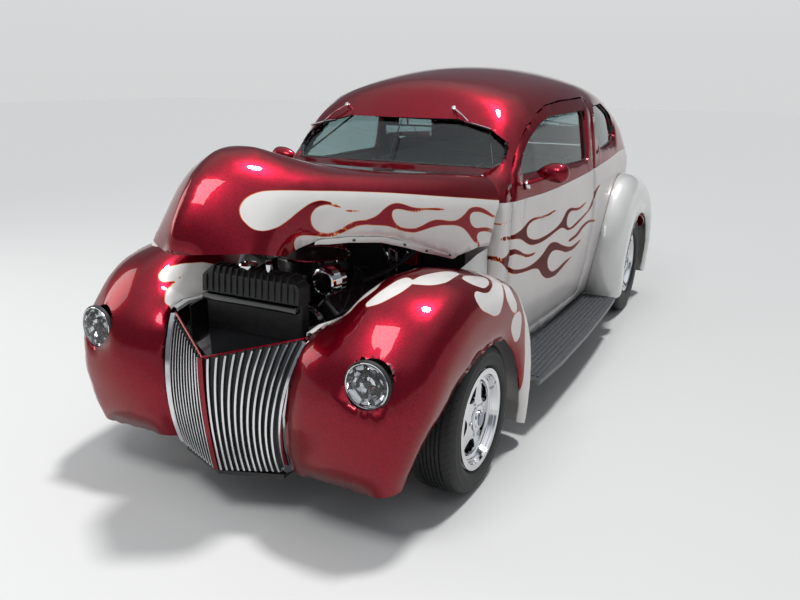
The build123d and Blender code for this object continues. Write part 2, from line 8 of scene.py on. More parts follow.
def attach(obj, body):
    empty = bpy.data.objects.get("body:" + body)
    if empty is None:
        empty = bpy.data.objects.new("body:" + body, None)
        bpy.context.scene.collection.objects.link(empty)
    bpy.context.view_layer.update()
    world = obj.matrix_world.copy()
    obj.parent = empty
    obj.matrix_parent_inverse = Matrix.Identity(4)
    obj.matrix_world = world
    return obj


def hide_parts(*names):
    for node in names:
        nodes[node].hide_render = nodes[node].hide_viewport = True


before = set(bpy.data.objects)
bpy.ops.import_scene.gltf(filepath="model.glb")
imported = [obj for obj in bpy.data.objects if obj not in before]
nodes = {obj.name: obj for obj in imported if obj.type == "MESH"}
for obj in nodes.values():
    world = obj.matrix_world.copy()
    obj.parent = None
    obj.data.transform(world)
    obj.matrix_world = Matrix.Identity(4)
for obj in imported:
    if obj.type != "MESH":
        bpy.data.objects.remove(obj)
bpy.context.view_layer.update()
bpy.ops.object.select_all(action="DESELECT")


def at(station):
    # Y of a place that many metres behind the front axle
    return station - 1.557


print("frame loaded:", len(nodes), "nodes")

# ---- helpers for modelling ----


def pick(obj):
    bpy.ops.object.select_all(action="DESELECT")
    obj.select_set(True)
    bpy.context.view_layer.objects.active = obj


def bakePlace(obj):
    pick(obj)
    bpy.ops.object.transform_apply(location=True, rotation=True, scale=True)


def editAll(obj):
    pick(obj)
    bpy.ops.object.mode_set(mode="EDIT")
    bpy.ops.mesh.select_all(action="SELECT")


def endEdit():
    bpy.ops.object.mode_set(mode="OBJECT")


def closeUp(obj, distance=0.00005):
    editAll(obj)
    bpy.ops.mesh.remove_doubles(threshold=distance)
    bpy.ops.mesh.normals_make_consistent(inside=False)
    endEdit()


def applyModifier(obj, kind, **settings):
    pick(obj)
    modifier = obj.modifiers.new(kind.lower(), kind)
    for key, value in settings.items():
        setattr(modifier, key, value)
    bpy.ops.object.modifier_apply(modifier=modifier.name)


def addBox(low, high, bevel=0.0, segments=3):
    low, high = Vector(low), Vector(high)
    bpy.ops.mesh.primitive_cube_add(size=1, location=(low + high) / 2, scale=high - low)
    obj = bpy.context.active_object
    bakePlace(obj)
    if bevel:
        applyModifier(obj, "BEVEL", width=bevel, segments=segments, limit_method="ANGLE")
    return obj


def addRod(start, end, radius, vertices=24, bevel=0.0):
    start, end = Vector(start), Vector(end)
    turn = (end - start).to_track_quat("Z", "Y").to_euler()
    bpy.ops.mesh.primitive_cylinder_add(
        vertices=vertices, radius=radius, depth=(end - start).length, location=(start + end) / 2, rotation=turn)
    obj = bpy.context.active_object
    bakePlace(obj)
    if bevel:
        applyModifier(obj, "BEVEL", width=bevel, segments=2, limit_method="ANGLE", angle_limit=1.0)
    return obj


def addTube(points, radius, closed=False, smooth=True, sides=3):
    # a round bar along a curve through the points
    curve = bpy.data.curves.new("tube", "CURVE")
    curve.dimensions = "3D"
    curve.bevel_depth = radius
    curve.bevel_resolution = sides
    curve.use_fill_caps = True
    curve.resolution_u = 8
    spline = curve.splines.new("BEZIER" if smooth else "POLY")
    ends = spline.bezier_points if smooth else spline.points
    ends.add(len(points) - 1)
    for end, point in zip(ends, points):
        if smooth:
            end.co = point
            end.handle_left_type = end.handle_right_type = "AUTO"
        else:
            end.co = (*point, 1)
    spline.use_cyclic_u = closed
    obj = bpy.data.objects.new("tube", curve)
    bpy.context.scene.collection.objects.link(obj)
    pick(obj)
    bpy.ops.object.convert(target="MESH")
    obj = bpy.context.active_object
    closeUp(obj)
    return obj


def addLathe(profile, centre, axis, steps=64, closed=True):
    # a profile of (along the axis, radius) spun about the axis
    axis, centre = Vector(axis).normalized(), Vector(centre)
    side = axis.orthogonal().normalized()
    mesh = bpy.data.meshes.new("lathe")
    edges = [(i, i + 1) for i in range(len(profile) - 1)] + ([(len(profile) - 1, 0)] if closed else [])
    mesh.from_pydata([centre + axis * along + side * radius for along, radius in profile], edges, [])
    obj = bpy.data.objects.new("lathe", mesh)
    bpy.context.scene.collection.objects.link(obj)
    editAll(obj)
    bpy.ops.mesh.spin(steps=steps, angle=math.tau, center=centre, axis=axis)
    endEdit()
    closeUp(obj)
    return obj


def joinPieces(objects):
    bpy.ops.object.select_all(action="DESELECT")
    for obj in objects:
        obj.select_set(True)
    bpy.context.view_layer.objects.active = objects[0]
    if len(objects) > 1:
        bpy.ops.object.join()
    return objects[0]


def copyPiece(obj, move=(0, 0, 0), flip=False, turn=None):
    # a copy with its own mesh, moved, mirrored across the car or turned by a matrix
    twin = obj.copy()
    twin.data = obj.data.copy()
    bpy.context.scene.collection.objects.link(twin)
    matrix = Matrix.Translation(move) @ (turn or Matrix.Identity(4))
    twin.data.transform(Matrix.Diagonal((-1, 1, 1, 1)) @ matrix if flip else matrix)
    if flip:
        twin.data.flip_normals()
    return twin


def finishPiece(obj, name, material, body, angle=35):
    # names a piece, gives it its finish and hangs it on its body
    obj.name = obj.data.name = name
    if material is not None:
        obj.data.materials.clear()
        obj.data.materials.append(material)
    bakePlace(obj)
    bpy.ops.object.shade_smooth_by_angle(angle=math.radians(angle))
    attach(obj, body)
    return obj


def bothSides(obj, name, material, body, angle=35):
    # finishes a left-hand piece and its mirror image; body may hold {side}
    twin = copyPiece(obj, flip=True)
    finishPiece(obj, name + "Left", material, body.format(side="left"), angle)
    finishPiece(twin, name + "Right", material, body.format(side="right"), angle)
    return obj, twin


def copyNode(node):
    # a CAD node's mesh as a new object, its loose triangles merged
    obj = bpy.data.objects.new(node + "Skin", nodes[node].data.copy())
    bpy.context.scene.collection.objects.link(obj)
    closeUp(obj, 0.00008)
    return obj


# ---- materials ----


def newMaterial(name):
    material = bpy.data.materials.new(name)
    material.use_nodes = True
    tree = material.node_tree
    return material, tree, tree.nodes["Principled BSDF"]


def setInputs(shader, **values):
    for key, value in values.items():
        shader.inputs[key.replace("_", " ")].default_value = value


def objectCoords(tree):
    return tree.nodes.new("ShaderNodeTexCoord").outputs["Object"]


def noise(tree, scale, detail=3.0, vector=None):
    node = tree.nodes.new("ShaderNodeTexNoise")
    node.inputs["Scale"].default_value = scale
    node.inputs["Detail"].default_value = detail
    tree.links.new(vector or objectCoords(tree), node.inputs["Vector"])
    return node.outputs["Fac"]


def maths(tree, operation, first, second=None):
    node = tree.nodes.new("ShaderNodeMath")
    node.operation = operation
    for socket, value in zip(node.inputs, (first, second)):
        if isinstance(value, (int, float)):
            socket.default_value = value
        elif value is not None:
            tree.links.new(value, socket)
    return node.outputs["Value"]


def spread(tree, value, low, high, toLow, toHigh):
    node = tree.nodes.new("ShaderNodeMapRange")
    for key, number in (("From Min", low), ("From Max", high), ("To Min", toLow), ("To Max", toHigh)):
        node.inputs[key].default_value = number
    tree.links.new(value, node.inputs["Value"])
    return node.outputs["Result"]


def ramp(tree, factor, stops):
    node = tree.nodes.new("ShaderNodeValToRGB")
    while len(node.color_ramp.elements) < len(stops):
        node.color_ramp.elements.new(0.5)
    for element, (position, colour) in zip(node.color_ramp.elements, stops):
        element.position = position
        element.color = (*colour, 1)
    tree.links.new(factor, node.inputs["Fac"])
    return node.outputs["Color"]


def blendColours(tree, factor, first, second):
    node = tree.nodes.new("ShaderNodeMix")
    node.data_type = "RGBA"
    colours = [socket for socket in node.inputs if socket.type == "RGBA"]
    for socket, value in zip(colours, (first, second)):
        if isinstance(value, tuple):
            socket.default_value = (*value, 1)
        else:
            tree.links.new(value, socket)
    tree.links.new(factor, node.inputs["Factor"])
    return [socket for socket in node.outputs if socket.type == "RGBA"][0]


def addBump(tree, shader, height, distance, strength=0.5):
    bump = tree.nodes.new("ShaderNodeBump")
    bump.inputs["Strength"].default_value = strength
    bump.inputs["Distance"].default_value = distance
    tree.links.new(height, bump.inputs["Height"])
    tree.links.new(bump.outputs["Normal"], shader.inputs["Normal"])


def surface(name, dark, light, metallic, roughness, scale, bump=0.0, coat=0.0, roughSpread=0.06):
    # a finish whose colour and roughness wander between two values
    material, tree, shader = newMaterial(name)
    grain = noise(tree, scale)
    tree.links.new(ramp(tree, grain, [(0.3, dark), (0.7, light)]), shader.inputs["Base Color"])
    setInputs(shader, Metallic=metallic, Coat_Weight=coat, Coat_Roughness=0.03)
    low, high = max(0.0, roughness - roughSpread), min(1.0, roughness + roughSpread)
    tree.links.new(spread(tree, grain, 0.3, 0.7, low, high), shader.inputs["Roughness"])
    if bump:
        addBump(tree, shader, grain, bump)
    return material


def glassMaterial(name, colour, ior=1.45):
    material, tree, shader = newMaterial(name)
    pale = tuple(min(1.0, c * 1.06) for c in colour)
    tree.links.new(ramp(tree, noise(tree, 2.0), [(0.35, colour), (0.65, pale)]), shader.inputs["Base Color"])
    setInputs(shader, Roughness=0.0, Transmission_Weight=1.0, IOR=ior)
    return material


paintSettings = {
    "candyDeep": (0.100, 0.001, 0.006),
    "candyBright": (0.34, 0.004, 0.022),
    "pearlShade": (0.60, 0.60, 0.58),
    "pearlLight": (0.70, 0.69, 0.67),
    "stripe": (0.62, 0.17, 0.035),
    # painted shade for the licks on the cab's sides
    "lickPaintedShade": (0.085, 0.006, 0.006),
    "taupe": (0.17, 0.11, 0.10),
    "stripeHalf": 0.00108,
    "flakeScale": 700.0,
}


def paintMaterial(name, flamed):
    # candy metallic; where flamed, pearl on one side of the stored line and a pinstripe along the flames; licks below
    # the belt take a darker candy as painted shade, turning greyer towards the back
    material, tree, shader = newMaterial(name)
    flakes = tree.nodes.new("ShaderNodeTexVoronoi")
    flakes.inputs["Scale"].default_value = paintSettings["flakeScale"]
    tree.links.new(objectCoords(tree), flakes.inputs["Vector"])
    stops = [(0.1, paintSettings["candyDeep"]), (0.9, paintSettings["candyBright"])]
    colour = ramp(tree, flakes.outputs["Color"], stops)
    setInputs(shader, Roughness=0.30, Metallic=0.85, Coat_Weight=1.0, Coat_Roughness=0.01, Coat_IOR=1.32,
              Specular_Tint=(0.55, 0.10, 0.13, 1))
    if flamed:
        gap, stripe, fade = (tree.nodes.new("ShaderNodeAttribute") for i in range(3))
        gap.attribute_name, stripe.attribute_name, fade.attribute_name = "paintGap", "stripeGap", "lickShadeAndGrey"
        pearlStops = [(0.3, paintSettings["pearlShade"]), (0.7, paintSettings["pearlLight"])]
        pearl = ramp(tree, noise(tree, 2.5), pearlStops)
        # painted shade: the licks' darker candy, then a greyer tone further back
        shadedLicks = spread(tree, fade.outputs["Fac"], 0.0, 0.5, 0.0, 1.0)
        colour = blendColours(tree, shadedLicks, colour, paintSettings["lickPaintedShade"])
        aft = spread(tree, fade.outputs["Fac"], 0.5, 1.0, 0.0, 1.0)
        colour = blendColours(tree, aft, colour, paintSettings["taupe"])
        side = spread(tree, gap.outputs["Fac"], -0.0004, 0.0004, 0.0, 1.0)
        colour = blendColours(tree, side, pearl, colour)
        near = maths(tree, "ABSOLUTE", stripe.outputs["Fac"])
        half = paintSettings["stripeHalf"]
        line = spread(tree, near, half - 0.0004, half + 0.0004, 1.0, 0.0)
        colour = blendColours(tree, line, colour, paintSettings["stripe"])
        tree.links.new(spread(tree, gap.outputs["Fac"], -0.0004, 0.0004, 0.10, 0.85), shader.inputs["Metallic"])
        tree.links.new(spread(tree, shadedLicks, 0.0, 1.0, 1.0, 0.3), shader.inputs["Coat Weight"])
    tree.links.new(colour, shader.inputs["Base Color"])
    return material


def aroundAxle(tree, centre):
    # angle and reach of a place about an axle that runs across the car
    separate = tree.nodes.new("ShaderNodeSeparateXYZ")
    tree.links.new(objectCoords(tree), separate.inputs["Vector"])
    along = maths(tree, "SUBTRACT", separate.outputs["Y"], centre[0])
    height = maths(tree, "SUBTRACT", separate.outputs["Z"], centre[1])
    angle = maths(tree, "ARCTAN2", height, along)
    squares = maths(tree, "ADD", maths(tree, "POWER", along, 2.0), maths(tree, "POWER", height, 2.0))
    return angle, maths(tree, "SQRT", squares), separate.outputs["X"]


def tyreMaterial(name, centre, radius):
    material, tree, shader = newMaterial(name)
    grain = noise(tree, 60.0)
    tree.links.new(ramp(tree, grain, [(0.3, (0.006, 0.006, 0.007)), (0.7, (0.014, 0.014, 0.014))]),
                   shader.inputs["Base Color"])
    setInputs(shader, Roughness=0.62)
    angle, reach, across = aroundAxle(tree, centre)
    slant = maths(tree, "ADD", maths(tree, "MULTIPLY", angle, 64.0), maths(tree, "MULTIPLY", across, 130.0))
    blocks = spread(tree, maths(tree, "SINE", slant), 0.70, 0.80, 1.0, 0.0)
    onTread = spread(tree, reach, radius - 0.012, radius - 0.006, 0.0, 1.0)
    cuts = maths(tree, "ADD", maths(tree, "MULTIPLY", blocks, onTread), maths(tree, "SUBTRACT", 1.0, onTread))
    addBump(tree, shader, cuts, 0.004, 0.9)
    return material


axles = {"front": (at(0), 0.308, 0.308), "rear": (at(2.845), 0.348, 0.348)}
finishes = {
    "candy": paintMaterial("candyPaint", False),
    "flames": paintMaterial("flamePaint", True),
    "pearl": surface("pearlPaint", (0.60, 0.60, 0.58), (0.70, 0.69, 0.67), 0.10, 0.30, 2.5, coat=1.0,
                     roughSpread=0.02),
    "under": surface("undercoat", (0.010, 0.010, 0.011), (0.022, 0.022, 0.022), 0.0, 0.75, 60.0, bump=0.001),
    "chassis": surface("chassisPaint", (0.012, 0.012, 0.013), (0.03, 0.03, 0.032), 0.0, 0.42, 30.0, bump=0.0002),
    "engine": surface("enginePaint", (0.010, 0.010, 0.011), (0.028, 0.028, 0.03), 0.2, 0.32, 60.0,
                      bump=0.0004, coat=0.4),
    "chrome": surface("chromePlate", (0.66, 0.67, 0.69), (0.80, 0.81, 0.82), 1.0, 0.06, 6.0, roughSpread=0.03),
    "cast": surface("castMetal", (0.06, 0.06, 0.063), (0.13, 0.13, 0.135), 0.8, 0.5, 120.0, bump=0.0006),
    "alloy": surface("brightAlloy", (0.42, 0.43, 0.45), (0.58, 0.59, 0.60), 1.0, 0.26, 90.0, bump=0.0002),
    "blackGloss": surface("blackGloss", (0.004, 0.004, 0.005), (0.012, 0.012, 0.014), 0.0, 0.10, 12.0, coat=1.0),
    "blackSatin": surface("blackSatin", (0.008, 0.008, 0.009), (0.020, 0.020, 0.021), 0.0, 0.45, 40.0, bump=0.0002),
    "rubber": surface("blackRubber", (0.010, 0.010, 0.010), (0.024, 0.024, 0.024), 0.0, 0.55, 80.0, bump=0.0003),
    "boardTop": surface("boardRubber", (0.035, 0.038, 0.042), (0.060, 0.064, 0.070), 0.0, 0.50, 70.0, bump=0.0004),
    "boardEdge": surface("boardEdge", (0.10, 0.10, 0.10), (0.15, 0.15, 0.145), 0.0, 0.40, 50.0, bump=0.0002),
    "steel": surface("exhaustSteel", (0.35, 0.33, 0.30), (0.55, 0.54, 0.52), 1.0, 0.35, 25.0, bump=0.0003),
    "redLens": surface("redLens", (0.22, 0.003, 0.006), (0.36, 0.008, 0.012), 0.0, 0.10, 40.0, coat=1.0),
    "trim": surface("greyTrim", (0.035, 0.035, 0.038), (0.06, 0.06, 0.064), 0.0, 0.85, 140.0, bump=0.0008),
    "leather": surface("seatLeather", (0.10, 0.095, 0.09), (0.16, 0.15, 0.14), 0.0, 0.48, 160.0, bump=0.0006),
    "gauge": surface("gaugeFace", (0.015, 0.015, 0.016), (0.05, 0.05, 0.05), 0.0, 0.3, 400.0),
    "cap": surface("capEnamel", (0.05, 0.08, 0.14), (0.08, 0.12, 0.20), 0.2, 0.25, 30.0, coat=1.0),
    "window": glassMaterial("windowGlass", (0.50, 0.62, 0.62)),
    "lens": glassMaterial("lampGlass", (0.96, 0.98, 0.99)),
    "tyreFront": tyreMaterial("tyreFront", axles["front"][:2], 0.308),
    "tyreRear": tyreMaterial("tyreRear", axles["rear"][:2], 0.348),
}

# Every CAD node that stays in view takes one of these finishes
nodeFinish = {
    "candy": ["mirror_left", "mirror_right", "grille_centre", "dashboard"],
    "chassis": ["chassis_frame", "front_axle", "rear_axle", "wheel_tubs", "fuel_tank", "steering_column"],
    "trim": ["floor_panels", "front_seat", "rear_seat"],
    "engine": ["engine_block", "intake_and_air_cleaner", "cylinder_heads"],
    "chrome": ["grille_bars", "rear_bumper", "wheel_front_left", "wheel_front_right", "wheel_rear_left",
               "wheel_rear_right", "headlamps"],
    "cast": ["front_knuckle_left", "front_knuckle_right", "gearbox", "drive_shaft"],
    "alloy": ["engine_pulleys"],
    "blackGloss": ["air_panel"],
    "blackSatin": ["radiator", "front_pan", "firewall", "engine_bay_sides"],
    "tyreFront": ["tyre_front_left", "tyre_front_right"],
    "tyreRear": ["tyre_rear_left", "tyre_rear_right"],
    "boardTop": ["running_boards"],
    "steel": ["exhaust"],
    "redLens": ["tail_lamps"],
    "rubber": ["steering_wheel"],
    "window": ["windshield", "rear_glass", "quarter_glass", "door_glass_left", "door_glass_right"],
}
for finish, names in nodeFinish.items():
    for nodeName in names:
        nodes[nodeName].data.materials.clear()
        nodes[nodeName].data.materials.append(finishes[finish])
        pick(nodes[nodeName])
        bpy.ops.object.shade_smooth_by_angle(angle=math.radians(32))
boards = nodes["running_boards"].data
boards.materials.append(finishes["boardEdge"])
for face in boards.polygons:
    face.material_index = int(face.normal.z < 0.5)
# painted shade: the grille bars are black except near the wing's outer edge, so only the chrome strips on their fronts
# show bright
bars = nodes["grille_bars"].data
bars.materials.append(finishes["blackSatin"])
for face in bars.polygons:
    corner = np.interp(face.center.z, [0.200, 0.456, 0.716], [0.252, 0.267, 0.317])
    face.material_index = int(abs(face.center.x) < corner - 0.016)
print("materials made")

# ---- flames ----
# Outlines in millimetres. On the hood and the cab's sides they are (Y, Z); on the front fenders they are
# (degrees about the wheel, distance across the skin from its inner edge to its lip).
flameOutlines = {
    "hood": [
        [(-1040, 1104), (-1203, 1130), (-1426, 1164), (-1601, 1191), (-1704, 1205), (-1841, 1221), (-1927, 1229),
         (-2007, 1237), (-2080, 1241), (-2117, 1235), (-2146, 1222), (-2167, 1204), (-2180, 1185), (-2186, 1162),
         (-2183, 1143), (-2174, 1125), (-2151, 1117), (-2117, 1119), (-2082, 1127), (-2039, 1146), (-1998, 1169),
         (-1964, 1186), (-1941, 1193), (-1919, 1195), (-1895, 1189), (-1870, 1177), (-1845, 1161), (-1814, 1150),
         (-1778, 1142), (-1815, 1144), (-1845, 1154), (-1867, 1166), (-1889, 1176), (-1906, 1179), (-1927, 1176),
         (-1946, 1167), (-1960, 1148), (-1961, 1130), (-1953, 1107), (-1935, 1087), (-1909, 1076), (-1882, 1077),
         (-1854, 1087), (-1827, 1100), (-1799, 1108), (-1762, 1109), (-1732, 1114), (-1707, 1125), (-1686, 1141),
         (-1660, 1154), (-1632, 1158), (-1601, 1151), (-1558, 1134), (-1510, 1125), (-1463, 1121), (-1429, 1116),
         (-1393, 1105), (-1439, 1109), (-1478, 1115), (-1511, 1115), (-1547, 1115), (-1578, 1122), (-1600, 1129),
         (-1625, 1135), (-1646, 1133), (-1653, 1120), (-1651, 1105), (-1643, 1088), (-1627, 1071), (-1602, 1059),
         (-1575, 1053), (-1548, 1051), (-1516, 1057), (-1483, 1068), (-1449, 1072), (-1413, 1067), (-1377, 1059),
         (-1337, 1055), (-1308, 1062), (-1280, 1076), (-1256, 1093), (-1224, 1097), (-1192, 1093), (-1152, 1080),
         (-1109, 1058), (-1072, 1039), (-1040, 1026), (-1036, 1018), (-1060, 1025), (-1100, 1040), (-1144, 1058),
         (-1184, 1071), (-1223, 1076), (-1242, 1071), (-1248, 1056), (-1242, 1035), (-1225, 1016), (-1198, 1004),
         (-1164, 1001), (-1122, 995), (-1087, 983), (-1064, 966), (-1091, 968), (-1127, 979), (-1162, 983),
         (-1182, 981), (-1191, 969), (-1187, 952), (-1170, 932), (-1150, 900), (-980, 860), (-960, 1096)],
        [(-1179, 921), (-1211, 948), (-1241, 977), (-1275, 1007), (-1306, 1025), (-1342, 1036), (-1382, 1042),
         (-1418, 1046), (-1454, 1045), (-1488, 1042), (-1521, 1037), (-1557, 1035), (-1589, 1042), (-1623, 1054),
         (-1657, 1069), (-1686, 1078), (-1734, 1086), (-1763, 1091), (-1791, 1090), (-1819, 1083), (-1851, 1072),
         (-1878, 1064), (-1906, 1063), (-1935, 1068), (-1962, 1074), (-1989, 1077), (-2012, 1070), (-2018, 1050),
         (-2005, 1025), (-1980, 1000), (-1900, 960), (-1600, 900), (-1200, 840)],
    ],
    "licks": [
        [(-997, 921), (-960, 926), (-899, 918), (-823, 915), (-748, 922), (-698, 936), (-647, 951), (-583, 956),
         (-494, 951), (-411, 949), (-340, 955), (-273, 953), (-323, 946), (-395, 939), (-480, 939), (-558, 944),
         (-620, 939), (-660, 925), (-671, 902), (-652, 873), (-596, 851), (-530, 839), (-450, 839), (-369, 844),
         (-283, 856), (-210, 876), (-167, 902), (-124, 927), (-61, 934), (9, 923), (81, 918), (152, 926),
         (209, 930), (135, 911), (46, 905), (-41, 915), (-89, 907), (-115, 883), (-114, 849), (-78, 826),
         (-28, 825), (57, 840), (164, 859), (259, 881), (321, 921), (390, 979), (512, 1001), (409, 957),
         (353, 905), (301, 878), (185, 850), (78, 827), (-8, 812), (-92, 814), (-158, 836), (-206, 844),
         (-280, 837), (-365, 824), (-445, 816), (-526, 815), (-603, 823), (-672, 846), (-730, 872), (-782, 886),
         (-870, 897), (-974, 910)],
        [(-1005, 988), (-973, 995), (-868, 989), (-959, 986)],
        [(-997, 841), (-985, 833), (-943, 824), (-903, 830), (-874, 844), (-825, 844), (-757, 824), (-686, 795),
         (-618, 779), (-530, 773), (-578, 764), (-656, 771), (-739, 798), (-806, 816), (-855, 816), (-876, 800),
         (-870, 774), (-828, 748), (-748, 728), (-656, 716), (-569, 717), (-495, 729), (-432, 749), (-383, 773),
         (-329, 785), (-251, 774), (-165, 744), (-77, 719), (14, 705), (175, 718), (59, 684), (-65, 685),
         (-152, 707), (-252, 732), (-313, 732), (-349, 711), (-357, 685), (-329, 645), (-260, 613), (-168, 617),
         (-79, 634), (40, 640), (-40, 620), (-126, 596), (-211, 579), (-323, 589), (-406, 622), (-476, 671),
         (-549, 689), (-639, 695), (-743, 706), (-835, 727), (-892, 759), (-949, 796), (-1000, 822)],
        [(-56, 754), (60, 768), (156, 800), (279, 811), (416, 794), (422, 782), (292, 796), (184, 782),
         (85, 751), (-38, 740)],
    ],
    "fender": [
        [(134, -267), (131.3, -224), (129, -202), (125.1, -188), (122.8, -172), (118.4, -150), (112, -140), (104, -110),
         (96, -60), (88, -40), (70, -20), (60, -10), (60, -400), (134, -400)],
        [(127.6, -160), (127.5, -149), (125.6, -113), (122.2, -78), (118.4, -49), (112.4, -27), (110, -60), (112.4, -90),
         (117.1, -115), (122.7, -146), (126.3, -164)],
        [(113, -35), (112.2, 15), (109.9, 61), (105.5, 97), (99.2, 111), (92.1, 114), (90, 90), (94, 60), (102.1, 10),
         (108.3, -25)],
        [(95.5, 140), (90, 138), (84.9, 154), (77.1, 184), (79.8, 224), (85.6, 253), (92.1, 256), (96.1, 213),
         (97.0, 168)],
        [(99.1, 241), (102.4, 251), (104.1, 290), (102.5, 343), (93.8, 400), (85.7, 413), (81.8, 386), (76.9, 336),
         (71.6, 270), (66, 200), (64, 120), (70, 100), (74, 150), (73.5, 190), (77.5, 232), (82.7, 266), (90.3, 288),
         (95.3, 275)],
        [(68.5, 240), (70.4, 275), (74.3, 354), (68, 401), (59.6, 401), (60.2, 360), (63.5, 316), (63, 250)],
        [(55.4, 384), (62.2, 431), (59.2, 476), (46.9, 494), (41.2, 462), (44.8, 418), (49.6, 386)],
        [(60, -300), (64, 60), (60, 200), (56, 300), (50, 352), (42, 380), (32, 420), (20, 440), (5, 452), (-40, 440),
         (-40, -400)],
        [(1.6, 452), (-19.6, 500), (-40, 500), (-40, 300), (-19.7, 360), (-0.2, 420)],
    ],
    # the right fender's inner edge, seen from above: (Y, X)
    "farFender": [
        [(-1966, 466), (-1950, 472), (-1931, 471), (-1909, 464), (-1861, 454), (-1798, 446), (-1757, 442), (-1600, 430),
         (-1500, 380), (-1500, 200), (-2034, 200), (-2036, 349), (-2038, 355), (-2031, 375), (-2005, 397), (-1978, 410),
         (-1934, 416), (-1896, 418), (-1844, 423), (-1875, 421.5), (-1912, 421), (-1941, 426), (-1967, 438),
         (-1974, 453)],
    ],
}
beltLine = [(-1.10, 1.094), (-0.997, 1.084), (-0.838, 1.069), (-0.60, 1.064), (-0.443, 1.063), (-0.268, 1.068),
            (-0.05, 1.080), (0.22, 1.096), (0.568, 1.119), (1.155, 1.146), (1.7, 1.135), (2.1, 1.110), (2.4, 1.10)]


def smoothLoop(points, steps=4):
    # a closed smooth curve through the points
    p = np.array(points, float)
    before, after, later = np.roll(p, 1, 0), np.roll(p, -1, 0), np.roll(p, -2, 0)
    rows = []
    for step in range(steps):
        t = step / steps
        rows.append(0.5 * (2 * p + (after - before) * t + (2 * before - 5 * p + 4 * after - later) * t * t
                           + (3 * p - before - 3 * after + later) * t ** 3))
    return np.stack(rows, 1).reshape(-1, 2)


def signedDistance(points, loop):
    # distance to the loop's line, negative inside it
    best = np.full(len(points), 1e9)
    inside = np.zeros(len(points), bool)
    for a, b in zip(loop, np.roll(loop, -1, 0)):
        edge = b - a
        share = np.clip(((points - a) @ edge) / max(edge @ edge, 1e-12), 0, 1)
        gap = points - a - share[:, None] * edge
        best = np.minimum(best, (gap * gap).sum(1))
        crosses = (a[1] > points[:, 1]) != (b[1] > points[:, 1])
        if crosses.any():
            inside ^= crosses & (points[:, 0] < (b[0] - a[0]) * (points[:, 1] - a[1]) / (b[1] - a[1]) + a[0])
    return np.where(inside, -1, 1) * np.sqrt(best)


def nearestOf(points, outlines):
    return np.min([signedDistance(points, smoothLoop(outline) * 0.001) for outline in outlines], axis=0)


def refine(obj, cell, wanted):
    # halves the long edges where wanted(middle of an edge) holds, the longest first and one to a face in a turn
    mesh = bmesh.new()
    mesh.from_mesh(obj.data)
    for turn in range(40):
        spans = [(e.calc_length(), e) for e in mesh.edges]
        spans = [(span, e) for span, e in spans if span > cell and wanted((e.verts[0].co + e.verts[1].co) / 2)]
        taken, chosen = set(), []
        for span, edge in sorted(spans, key=lambda pair: -pair[0]):
            if taken.isdisjoint(edge.link_faces):
                taken.update(edge.link_faces)
                chosen.append(edge)
        if not chosen:
            break
        bmesh.ops.subdivide_edges(mesh, edges=chosen, cuts=1, use_single_edge=True)
    mesh.to_mesh(obj.data)
    mesh.free()


lampMiddle = (0.632, at(-0.604), 0.640)


def nearLamp(p):
    # the skin round the lamps' holes, which keeps its shape
    x, y, z = lampMiddle
    return (np.hypot(np.abs(p[:, 0]) - x, p[:, 2] - z) < 0.135) & (p[:, 1] < y + 0.154)


def roundOff(obj, rounds, bend=50, held=None):
    # turns the skin's flat facets into a curved surface; sharp edges are evened along themselves
    mesh = bmesh.new()
    mesh.from_mesh(obj.data)
    mesh.verts.ensure_lookup_table()
    sharp = {e.index for e in mesh.edges if not e.smooth}
    kind = np.zeros(len(mesh.verts), int)  # 0 free, 1 on a sharp line, 2 held
    pairs = np.zeros((len(mesh.verts), 2), int)
    for vertex in mesh.verts:
        ends = [e.other_vert(vertex) for e in vertex.link_edges if e.index in sharp]
        if len(ends) == 2 and (ends[0].co - vertex.co).angle(vertex.co - ends[1].co, 3.0) < math.radians(bend):
            kind[vertex.index], pairs[vertex.index] = 1, (ends[0].index, ends[1].index)
        elif ends:
            kind[vertex.index] = 2
    links = np.array([[v.index for v in e.verts] for e in mesh.edges])
    mesh.free()
    p = placesOf(obj)
    low, high = p.min(0), p.max(0)
    start, end = links.T
    degree = np.bincount(links.ravel(), minlength=len(p))[:, None]
    if held:
        kind[held(p)] = 2
    free, line = kind == 0, np.flatnonzero(kind == 1)
    for turn in range(2 * rounds):
        share = 0.5 if turn % 2 == 0 else -0.52
        total = np.zeros_like(p)
        for axis in range(3):
            total[:, axis] = np.bincount(start, p[end, axis], len(p)) + np.bincount(end, p[start, axis], len(p))
        pull = total / np.maximum(degree, 1) - p
        if turn % 10 == 0:
            obj.data.vertices.foreach_set("co", p.astype(np.float32).ravel())
            obj.data.update()
            normals = np.zeros(len(p) * 3, np.float32)
            obj.data.vertices.foreach_get("normal", normals)
            normals = normals.reshape(-1, 3).astype(float)
        step = (pull * normals).sum(1)[:, None] * normals * free[:, None]
        step[line] = (p[pairs[line, 0]] + p[pairs[line, 1]]) / 2 - p[line]
        p = p + share * step
    obj.data.vertices.foreach_set("co", np.clip(p, low, high).astype(np.float32).ravel())
    obj.data.update()


def chooseFinish(obj, score, limit=-0.25):
    # gives the second finish to the patches, between sharp edges, that face inwards on the whole
    mesh = bmesh.new()
    mesh.from_mesh(obj.data)
    chosen = set()
    seen = set()
    for first in mesh.faces:
        if first.index in seen:
            continue
        seen.add(first.index)
        patch = [first]
        for face in patch:
            for edge in face.edges:
                if edge.smooth:
                    fresh = [f for f in edge.link_faces if f.index not in seen and f.normal.dot(face.normal) > 0.7]
                    seen.update(f.index for f in fresh)
                    patch.extend(fresh)
        areas = [f.calc_area() for f in patch]
        total = sum(area * score(f.calc_center_median(), f.normal) for area, f in zip(areas, patch))
        mean = total / max(sum(areas), 1e-9)
        if mean < limit:
            chosen.update(f.index for f in patch)
    mesh.free()
    for face in obj.data.polygons:
        face.material_index = int(face.index in chosen)


